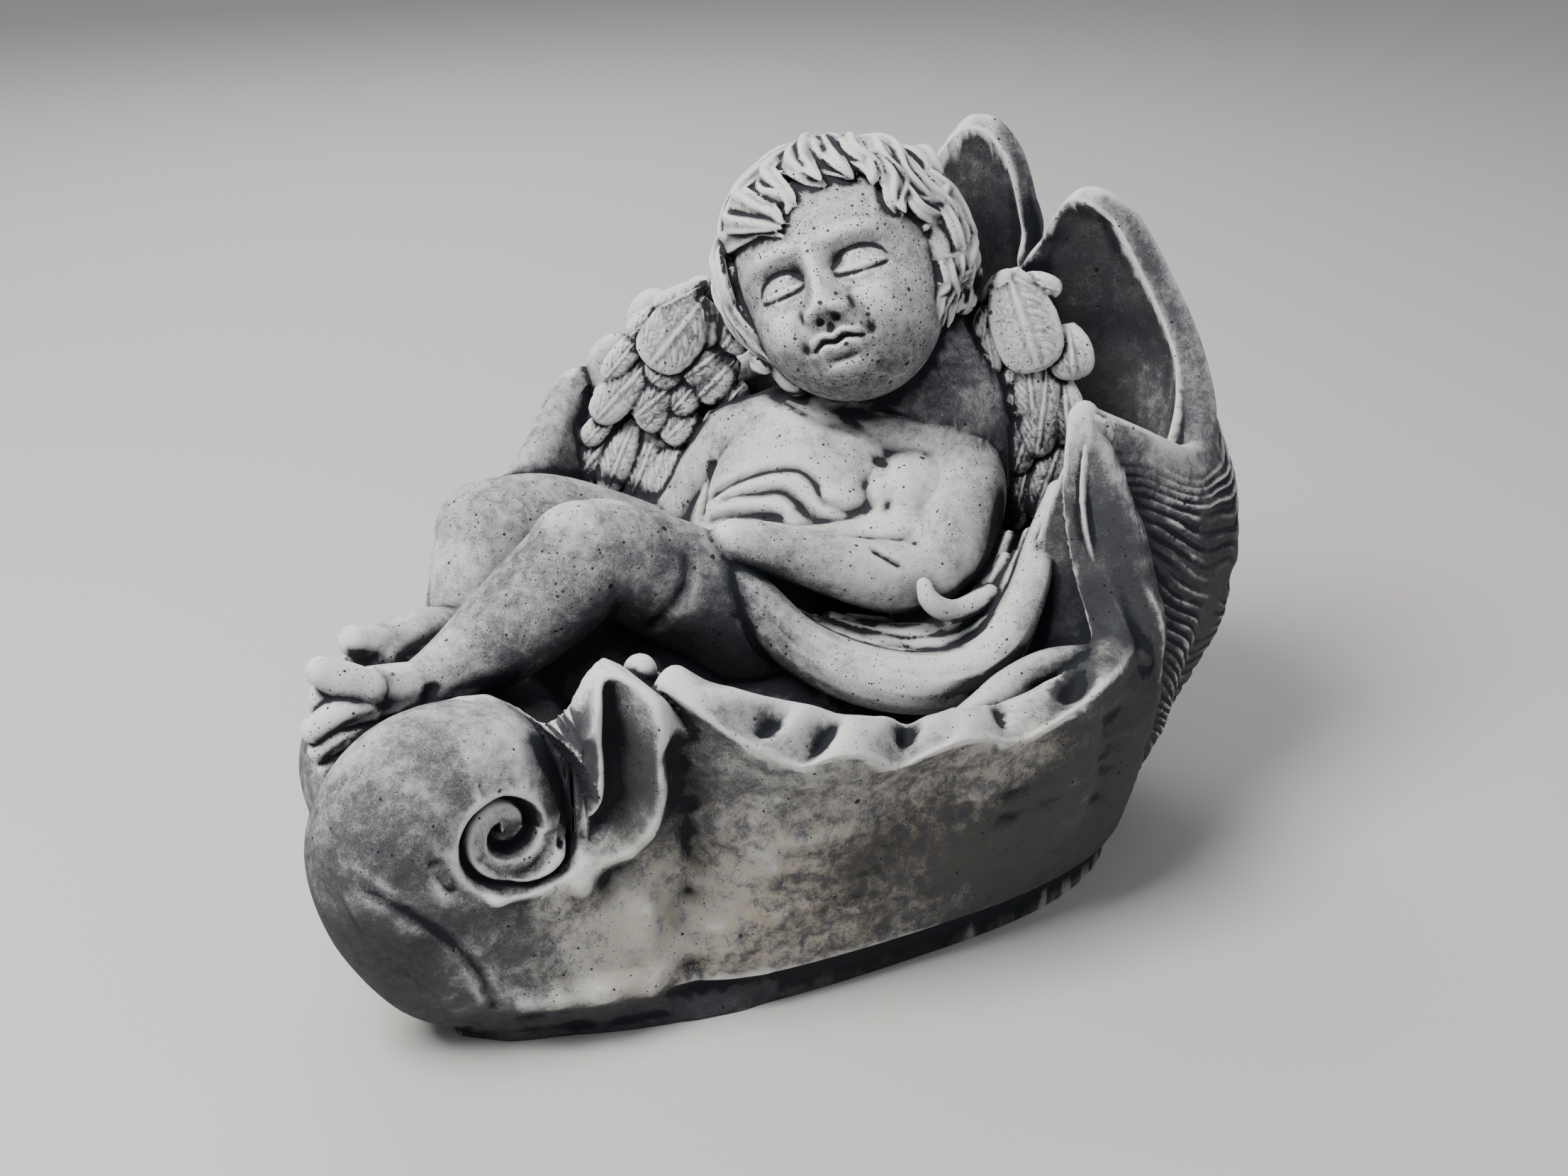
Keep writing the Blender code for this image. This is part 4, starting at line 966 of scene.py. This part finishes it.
# Creases and swellings drawn over the fused stone: layer, depth, half width, and the line
creasePlan = (
    ("flesh", -2.2, 2.4, ((-10, 52, 148), (-7, 47, 150), (3, 33, 160), (10, 25, 164), (17, 18, 165),
                          (21, 12, 161), (22, 5, 155), (38, 1, 148))),
    ("flesh", -1.8, 2.2, ((-8, 42, 148), (-4, 36, 152), (2, 27, 155), (9, 19, 157), (13, 14, 154),
                          (17, 8, 147))),
    ("flesh", -1.5, 2.2, ((-13, 44, 140), (-9, 34, 145), (0, 20, 148), (8, 8, 148))),
    ("flesh", 0.9, 3.8, ((-8, 46, 149), (0, 32, 157), (8, 23, 161), (15, 16, 160), (18, 10, 154))),
    ("flesh", 0.8, 3.8, ((-10, 42, 144), (-3, 31, 150), (5, 19, 153), (11, 10, 150))),
    ("flesh", -2.0, 2.6, ((2, 62, 156), (1, 61, 153), (-8, 54, 146), (-12, 46, 140))),
    ("flesh", -1.6, 2.6, ((46, 8, 170), (50, 3, 163), (48, -3, 157), (40, -10, 152))),
    ("flesh", -1.8, 2.0, ((23, -30, 150), (27, -33, 146), (33, -36, 141))),
    ("flesh", -1.8, 3.4, ((-70, -12, 124), (-62, -17, 136), (-54, -18, 146), (-50, -10, 158))),
    ("flesh", -1.8, 2.0, ((-152, -14, 128), (-154, -15, 122), (-156, -13, 114))),
    ("flesh", -1.6, 1.8, ((50, 30, 176), (60, 22, 178), (70, 18, 178), (80, 20, 182))),
)


def press(mesh):
    # Each point moves along its normal by a bell of its distance to the line, measured across the normal.
    spots, facing = placed(mesh) / unit - shift, placed(mesh, "normal")
    marks = np.empty(len(spots) * 4, np.float32)
    shares = []
    for name in ("layer", "layer2"):
        mesh.attributes[name].data.foreach_get("color", marks)
        shares.append(marks.reshape(-1, 4).copy())
    share = np.hstack(shares)
    for layer, depth, width, line in creasePlan:
        points = smoothThrough(line, 220)
        low, high = points.min(0) - 3 * width, points.max(0) + 3 * width
        inBox = ((spots > low) & (spots < high)).all(-1)
        some = np.flatnonzero(inBox & (share[:, layers.index(layer)] > 0.2))
        apart = spots[some, None] - points
        along = (apart * facing[some, None]).sum(-1)
        across = np.maximum((apart**2).sum(-1) - along**2, 0)
        gap = np.sqrt(across + (np.maximum(np.abs(along) - 7, 0) * 2) ** 2)
        count = np.arange(220)
        ends = np.clip(np.minimum(count, count[::-1]) / 35 + 0.1, 0, 1)
        spots[some] += facing[some] * (depth * (bell(gap, width) * ends).max(-1))[:, None]
    mesh.vertices.foreach_set("co", ((spots + shift) * unit).astype(np.float32).ravel())
    mesh.update()


press(stone)
relaxed = finished(stone.copy(), ("SMOOTH", {"factor": 0.5, "iterations": working["stoneRelax"]}))
print("relaxed")
hollowRounds = {"hollowFine": 4, "hollowMid": 26, "hollowWide": 140}
fine = {name: hollows(relaxed, rounds) for name, rounds in hollowRounds.items()}
print("hollows read")
spots, facings = placed(relaxed), placed(relaxed, "normal")
amounts = np.full(len(spots), working["stoneStep"] ** 2)
# how much stone stands in front of each point, kept for the painted shade
fine["crowd"] = crowding(spots, facings, amounts, (0.007, 0.014, 0.026))
for name, values in fine.items():
    relaxed.attributes.new(name, "FLOAT", "POINT").data.foreach_set("value", values.astype(np.float32))
print("masks kept:", ", ".join(fine))

faces = sum(len(p.vertices) - 2 for p in relaxed.polygons)
thinning = {"ratio": working["mostTriangles"] / faces, "use_collapse_triangulate": True}
carved = finished(relaxed, ("DECIMATE", thinning))
print("thinned:", len(carved.polygons), "triangles")


def cutFlat(mesh):
    # Everything under the floor is cut away and the cut is closed.
    work = bmesh.new()
    work.from_mesh(mesh)
    parts = work.verts[:] + work.edges[:] + work.faces[:]
    bmesh.ops.bisect_plane(work, geom=parts, plane_co=(0, 0, 0), plane_no=(0, 0, -1), clear_outer=True)
    rim = [edge for edge in work.edges if edge.is_boundary]
    bmesh.ops.holes_fill(work, edges=rim)
    bmesh.ops.triangulate(work, faces=[face for face in work.faces if len(face.verts) > 3])
    work.to_mesh(mesh)
    work.free()
    mesh.update()


cutFlat(carved)
statue = bpy.data.objects.new("cherubInShell", carved)
bpy.context.scene.collection.objects.link(statue)
bpy.data.objects.remove(fuser)
carved.shade_smooth()
print("cut flat:", len(carved.polygons), "triangles")

# The finish: weathered cast concrete, with painted shade and highlight
finishPlan = {
    "washedAndHighlit": (0.72, 0.72, 0.705, 1.0),  # light end: rubbed high places, also painted highlight on proud and upward faces
    "plain": (0.155, 0.157, 0.165, 1.0),  # the body of the stone
    "shadeAndGrime": (0.008, 0.010, 0.015, 1.0),  # painted shade in the hollows and under crowding stone, with the grime that gathers there
    "beige": (0.42, 0.375, 0.295, 1.0),  # the earthy bloom low on the shell
    # how light each layer stands before the patches, from 0 to 1
    "layerTone": {"flesh": 0.56, "head": 0.55, "hair": 0.60, "feather": 0.50, "cloth": 0.62, "shell": 0.34,
                  "scroll": 0.40},
    # darker and lighter places: centre in units, reach, change. The small deep dark ones are painted shade in
    # the near lip's pockets; the others are partly painted shade and highlight, partly the stone's own patchy
    # tone
    "patches": (
        ((-60, 0, 120), 55, -0.22), ((-110, 0, 120), 45, -0.10), ((120, -100, 60), 60, -0.36),
        ((170, -60, 60), 75, -0.40), ((50, -120, 55), 45, -0.26), ((-60, -100, 45), 50, 0.12),
        ((-115, -85, 45), 34, 0.22), ((-195, -40, 40), 34, -0.34), ((35, 10, 165), 48, 0.24),
        ((190, 0, 110), 60, -0.24), ((150, 40, 240), 60, -0.06), ((146, -50, 172), 24, 0.34),
        ((0, 20, 60), 60, -0.25), ((-30, -30, 110), 34, -0.25), ((-112, -74, 118), 20, -0.42),
        ((-95, -78, 92), 14, -0.40), ((-150, -66, 92), 16, -0.16), ((-150, -50, 130), 30, 0.16),
        ((30, -56, 106), 34, 0.22), ((110, 0, 215), 24, 0.26), ((20, -95, 112), 40, 0.34),
        ((-50, -95, 122), 34, 0.36), ((-98, -80, 142), 16, 0.3), ((100, -56, 185), 20, 0.3),
        ((118, -62, 150), 20, -0.30), ((70, 60, 160), 60, -0.20), ((-182, -62, 60), 22, -0.08),
        ((40, 30, 250), 60, 0.06), ((-61, -92, 122), 6, -0.8), ((-41, -96, 115), 6, -0.8),
        ((-122, -68, 125), 12, -0.4), ((-6, -99, 105), 6, -0.8), ((33, -95, 103), 6, -0.5),
        ((64, -92, 103), 9, -0.7), ((92, -76, 100), 14, -0.3), ((84, -70, 122), 16, -0.25),
        ((20, -112, 60), 26, -0.22), ((90, -100, 40), 40, -0.25), ((-20, -108, 40), 22, -0.12),
        ((30, -108, 84), 22, 0.12), ((8, 30, 152), 34, 0.18),
    ),
    "pores": ((230.0, 0.30, 0.16), (520.0, 0.36, 0.30), (1150.0, 0.42, 0.34)),  # scale, size, share kept
    # places with the beige bloom: centre, reach, strength
    "bloom": (((-60, -100, 40), 50, 0.8), ((-110, -85, 45), 34, 0.7), ((0, -115, 60), 50, 0.55),
              ((60, -115, 70), 50, 0.4), ((140, -100, 60), 60, 0.25), ((190, -20, 100), 50, 0.3)),
}


maskNames = ("tone", "bloom", "shadeAndGrime", "wearAndHighlight", "pores")


def readValues(mesh, name, width=1):
    # A point attribute as one array: single values, or rows of four.
    values = np.empty(len(mesh.vertices) * width, np.float32)
    mesh.attributes[name].data.foreach_get("value" if width == 1 else "color", values)
    return values if width == 1 else values.reshape(-1, width)


def paintTones(mesh):
    # Tone is the layer's own, plus a bell for each patch, waves, painted light on faces turned up, and
    # painted shade on faces turned down and low down.
    # Painted shade with some grime comes from the hollows and the stone in front; rubbed wear with a painted
    # highlight from how far the stone stands proud.
    spots = placed(mesh) / unit - shift
    facing = placed(mesh, "normal")
    share = np.hstack([readValues(mesh, "layer", 4), readValues(mesh, "layer2", 4)])
    share = share / np.maximum(share.sum(-1, keepdims=True), 0.01)
    tone = share[:, :len(layers)] @ np.array([finishPlan["layerTone"][name] for name in layers])
    for centre, reach, change in finishPlan["patches"]:
        tone += change * np.exp(-((spots - np.array(centre)) ** 2).sum(-1) / reach**2)
    tone += 0.06 * waves(spots, 70, 31) + 0.05 * waves(spots, 26, 32)
    # painted light and shade: faces turned up are lighter, faces turned down darker
    tone += 0.10 * facing[:, 2] - 0.16 * np.clip(-facing[:, 2], 0, 1)
    # painted shade: the foot band under the belly's overhang is darker
    tone -= 0.30 * ease((26 - spots[:, 2]) / 16)
    bloom = np.zeros(len(spots))
    for centre, reach, strength in finishPlan["bloom"]:
        bloom += strength * np.exp(-((spots - np.array(centre)) ** 2).sum(-1) / reach**2)
    ofLayer = dict(zip(layers, share.T))
    bloom *= (ofLayer["shell"] + ofLayer["scroll"]) * ease((spots[:, 2] - 12) / 12)
    fineGap, midGap, wideGap = (readValues(mesh, name) for name in hollowRounds)
    crowd = readValues(mesh, "crowd")
    # painted shade with some grime: darker in hollows at three sizes and where much stone stands in front
    shadeAndGrime = 3.3 * np.clip(fineGap - 0.03, 0, 1) + 2.1 * np.clip(midGap - 0.06, 0, 1)
    shadeAndGrime += 0.7 * np.clip(wideGap - 0.2, 0, 2)
    shadeAndGrime += 1.3 * ease((crowd - 0.35) / 0.7) + 0.35 * ease((crowd - 0.1) / 0.5)
    # rubbed wear and painted highlight: lighter where the stone stands proud
    wearAndHighlight = 2.2 * np.clip(-fineGap - 0.03, 0, 0.3) + 1.5 * np.clip(-midGap - 0.05, 0, 0.6)
    wearAndHighlight += 0.42 * np.clip(-wideGap - 0.2, 0, 1.5)
    pores = ofLayer["head"] + 0.26 * ofLayer["flesh"] + 0.3 * ofLayer["cloth"] + 0.25 * ofLayer["feather"]
    for name, values in zip(maskNames, (tone, bloom, shadeAndGrime, wearAndHighlight, pores)):
        kept = np.clip(values, 0, 2).astype(np.float32)
        mesh.attributes.new(name, "FLOAT", "POINT").data.foreach_set("value", kept)


def newGroup(name, inputs, outputs):
    # A shader node group with named value inputs and outputs.
    group = bpy.data.node_groups.new(name, "ShaderNodeTree")
    for label, kind, start in inputs:
        socket = group.interface.new_socket(name=label, in_out="INPUT", socket_type=kind)
        if start is not None:
            socket.default_value = start
    for label, kind in outputs:
        group.interface.new_socket(name=label, in_out="OUTPUT", socket_type=kind)
    return group, group.nodes.new("NodeGroupInput"), group.nodes.new("NodeGroupOutput")


def put(tree, kind, links=(), **settings):
    # A node with its settings, then its inputs: each a value or another node's output.
    node = tree.nodes.new(kind)
    for key, value in settings.items():
        setattr(node, key, value)
    for key, value in links:
        if isinstance(value, bpy.types.NodeSocket):
            tree.links.new(value, node.inputs[key])
        else:
            node.inputs[key].default_value = value
    return node


def maths(tree, operation, a, b=0.0, clamp=False):
    return put(tree, "ShaderNodeMath", ((0, a), (1, b)), operation=operation, use_clamp=clamp).outputs[0]


def ramp(tree, value, low, high):
    # From nothing at low to one at high, level at both ends.
    links = (("Value", value), ("From Min", low), ("From Max", high))
    return put(tree, "ShaderNodeMapRange", links, interpolation_type="SMOOTHSTEP").outputs[0]


def noise(tree, place, scale, detail=4.0, rough=0.55, warp=0.0):
    links = (("Vector", place), ("Scale", scale), ("Detail", detail), ("Roughness", rough),
             ("Distortion", warp))
    return put(tree, "ShaderNodeTexNoise", links).outputs["Fac"]


def poreGroup():
    # Round pits: the distance to scattered points, kept where each point's own random value is low.
    group, given, out = newGroup(
        "airPores",
        (("Vector", "NodeSocketVector", None), ("Scale", "NodeSocketFloat", 300.0),
         ("Size", "NodeSocketFloat", 0.2), ("Share", "NodeSocketFloat", 0.5)),
        (("Pit", "NodeSocketFloat"),),
    )
    place = given.outputs["Vector"]
    bent = noise(group, place, 900.0, 1.0)
    links = (("Vector", place), ("Scale", given.outputs["Scale"]), ("Randomness", 1.0))
    cells = put(group, "ShaderNodeTexVoronoi", links)
    pick = put(group, "ShaderNodeSeparateColor", (("Color", cells.outputs["Color"]),))
    size = maths(group, "ADD", maths(group, "MULTIPLY", pick.outputs[1], 0.9), 0.25)
    size = maths(group, "MULTIPLY", given.outputs["Size"], size)
    size = maths(group, "MULTIPLY", size, maths(group, "ADD", maths(group, "MULTIPLY", bent, 0.8), 0.6))
    near = maths(group, "SUBTRACT", 1.0, maths(group, "DIVIDE", cells.outputs["Distance"], size), True)
    kept = maths(group, "LESS_THAN", pick.outputs[0], given.outputs["Share"])
    pit = maths(group, "MULTIPLY", ramp(group, near, 0.0, 0.45), kept)
    group.links.new(pit, out.inputs["Pit"])
    return group


def grainGroup():
    # Three noises of one place, from sandy grain to blotches: scale, detail, roughness and warp of each.
    noises = {"Grain": (1500.0, 3.0, 0.7, 0.0), "Mottle": (210.0, 5.0, 0.68, 0.4),
              "Blotch": (42.0, 4.0, 0.6, 0.6)}
    outputs = [(label, "NodeSocketFloat") for label in noises]
    group, given, out = newGroup("castGrain", (("Vector", "NodeSocketVector", None),), outputs)
    for label, settings in noises.items():
        group.links.new(noise(group, given.outputs["Vector"], *settings), out.inputs[label])
    return group


def blend(tree, amount, low, high):
    # From one colour at no amount to the other at one.
    return put(tree, "ShaderNodeMix", ((0, amount), (6, low), (7, high)), data_type="RGBA").outputs[2]


def castConcrete():
    # Washed stone with painted highlight over plain stone by the tone, then earthy bloom, painted shade with
    # some grime in the hollows, and dark air pores.
    material = bpy.data.materials.new("weatheredCastConcrete")
    material.use_nodes = True
    tree = material.node_tree
    shader = tree.nodes["Principled BSDF"]
    place = put(tree, "ShaderNodeTexCoord").outputs["Object"]
    mask = {}
    for name in maskNames:
        mask[name] = put(tree, "ShaderNodeAttribute", attribute_name=name).outputs["Fac"]
    grain = put(tree, "ShaderNodeGroup", node_tree=grainGroup())
    tree.links.new(place, grain.inputs["Vector"])
    fineGrain, mottle, blotch = (grain.outputs[name] for name in ("Grain", "Mottle", "Blotch"))
    pores = poreGroup()
    pits = []
    for scale, size, most in finishPlan["pores"]:
        share = maths(tree, "MULTIPLY", maths(tree, "ADD", mask["pores"], 0.12), most)
        links = (("Vector", place), ("Share", share), ("Scale", scale), ("Size", size))
        pits.append(put(tree, "ShaderNodeGroup", links, node_tree=pores).outputs["Pit"])
    pit = maths(tree, "MAXIMUM", pits[0], maths(tree, "MAXIMUM", pits[1], pits[2]))

    # the tone goes up and down with the blotches, the mottling and the grain
    tone = mask["tone"]
    for layer, strength in ((blotch, 0.55), (mottle, 0.75), (fineGrain, 0.55)):
        swing = maths(tree, "MULTIPLY", maths(tree, "SUBTRACT", layer, 0.5), strength)
        tone = maths(tree, "ADD", tone, swing)
    # rubbed wear and painted highlight lighten the tone where the stone stands proud
    tone = maths(tree, "ADD", tone, mask["wearAndHighlight"])
    washedAndHighlit = ramp(tree, tone, 0.30, 1.05)
    stone = blend(tree, washedAndHighlit, finishPlan["plain"], finishPlan["washedAndHighlit"])
    earthy = maths(tree, "MULTIPLY", mask["bloom"], ramp(tree, mottle, 0.35, 0.62))
    stone = blend(tree, maths(tree, "MINIMUM", earthy, 0.85), stone, finishPlan["beige"])
    # painted shade with some grime: the hollows' mask plus more darkness where the tone is low, broken by the
    # mottling
    shaded = maths(tree, "ADD", mask["shadeAndGrime"], maths(tree, "MULTIPLY", ramp(tree, tone, 0.62, 0.10), 0.75))
    shaded = maths(tree, "MULTIPLY", shaded, maths(tree, "ADD", maths(tree, "MULTIPLY", mottle, 0.9), 0.55))
    stone = blend(tree, maths(tree, "MINIMUM", shaded, 0.97), stone, finishPlan["shadeAndGrime"])
    stone = blend(tree, maths(tree, "MULTIPLY", pit, 0.93), stone, finishPlan["shadeAndGrime"])
    tree.links.new(stone, shader.inputs["Base Color"])
    links = (("Value", fineGrain), ("To Min", 0.74), ("To Max", 0.98))
    rough = put(tree, "ShaderNodeMapRange", links).outputs[0]
    tree.links.new(rough, shader.inputs["Roughness"])
    height = maths(tree, "ADD", maths(tree, "MULTIPLY", fineGrain, 0.35),
                   maths(tree, "MULTIPLY", mottle, 0.65))
    height = maths(tree, "SUBTRACT", height, pit)
    bump = put(tree, "ShaderNodeBump", (("Strength", 0.55), ("Distance", 0.0006), ("Height", height)))
    tree.links.new(bump.outputs[0], shader.inputs["Normal"])
    shader.inputs["Specular IOR Level"].default_value = 0.28
    return material


paintTones(carved)
carved.materials.clear()
carved.materials.append(castConcrete())
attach(statue, "root")
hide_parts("statue")
print("stone painted")

# Floor, light and camera
stagePlan = {
    "floor": (0.62, 0.60, 0.57, 1.0), "floorReach": 6.0,
    "target": (0.0, 0.0, 125.0), "azimuth": -30.0, "elevation": 25.0, "distance": 860.0, "lens": 50.0,
    # lights: place in metres from the target, side in metres, watts, colour
    "lights": (((-0.85, -0.10, 1.25), 0.7, 36.0, (1.0, 0.985, 0.96)),
               ((0.9, -0.9, 0.8), 1.4, 3.0, (0.93, 0.96, 1.0)),
               ((0.3, 1.2, 0.9), 1.0, 10.0, (1.0, 1.0, 1.0))),
    "sky": (0.80, 0.86, 0.95, 1.0), "skyStrength": 0.30,
}


def stage():
    # A pale floor, three soft lights, a pale sky, and the camera at the photo's viewing angle.
    reach = stagePlan["floorReach"]
    mesh = bpy.data.meshes.new("floor")
    corners = [(-reach, -reach, 0), (reach, -reach, 0), (reach, reach, 0), (-reach, reach, 0)]
    mesh.from_pydata(corners, [], [(0, 1, 2, 3)])
    floor = bpy.data.objects.new("floor", mesh)
    floor.location.z = -0.0004
    bpy.context.scene.collection.objects.link(floor)
    material = bpy.data.materials.new("paleFloor")
    material.use_nodes = True
    shader = material.node_tree.nodes["Principled BSDF"]
    shader.inputs["Base Color"].default_value = stagePlan["floor"]
    shader.inputs["Roughness"].default_value = 0.9
    mesh.materials.append(material)

    target = (np.array(stagePlan["target"]) + shift) * unit
    for place, side, watts, colour in stagePlan["lights"]:
        lamp = bpy.data.lights.new("softLight", "AREA")
        lamp.size, lamp.energy, lamp.color = side, watts, colour
        light = bpy.data.objects.new("softLight", lamp)
        light.location = target + np.array(place)
        light.rotation_euler = Vector(place).to_track_quat("Z", "Y").to_euler()
        bpy.context.scene.collection.objects.link(light)
    world = bpy.data.worlds.new("paleSky")
    world.use_nodes = True
    world.node_tree.nodes["Background"].inputs["Color"].default_value = stagePlan["sky"]
    world.node_tree.nodes["Background"].inputs["Strength"].default_value = stagePlan["skyStrength"]
    bpy.context.scene.world = world

    azimuth, elevation = np.radians(stagePlan["azimuth"]), np.radians(stagePlan["elevation"])
    level = np.cos(elevation)
    back = Vector((np.sin(azimuth) * level, -np.cos(azimuth) * level, np.sin(elevation)))
    right = Vector((np.cos(azimuth), np.sin(azimuth), 0))
    lens = bpy.data.cameras.new("photoView")
    lens.lens, lens.sensor_width, lens.clip_start = stagePlan["lens"], 36.0, 0.01
    camera = bpy.data.objects.new("photoView", lens)
    turned = Matrix((right, back.cross(right), back)).transposed().to_4x4()
    turned.translation = Vector(target) + back * stagePlan["distance"] * unit
    camera.matrix_world = turned
    bpy.context.scene.collection.objects.link(camera)
    bpy.context.scene.camera = camera


stage()
print("stage set")
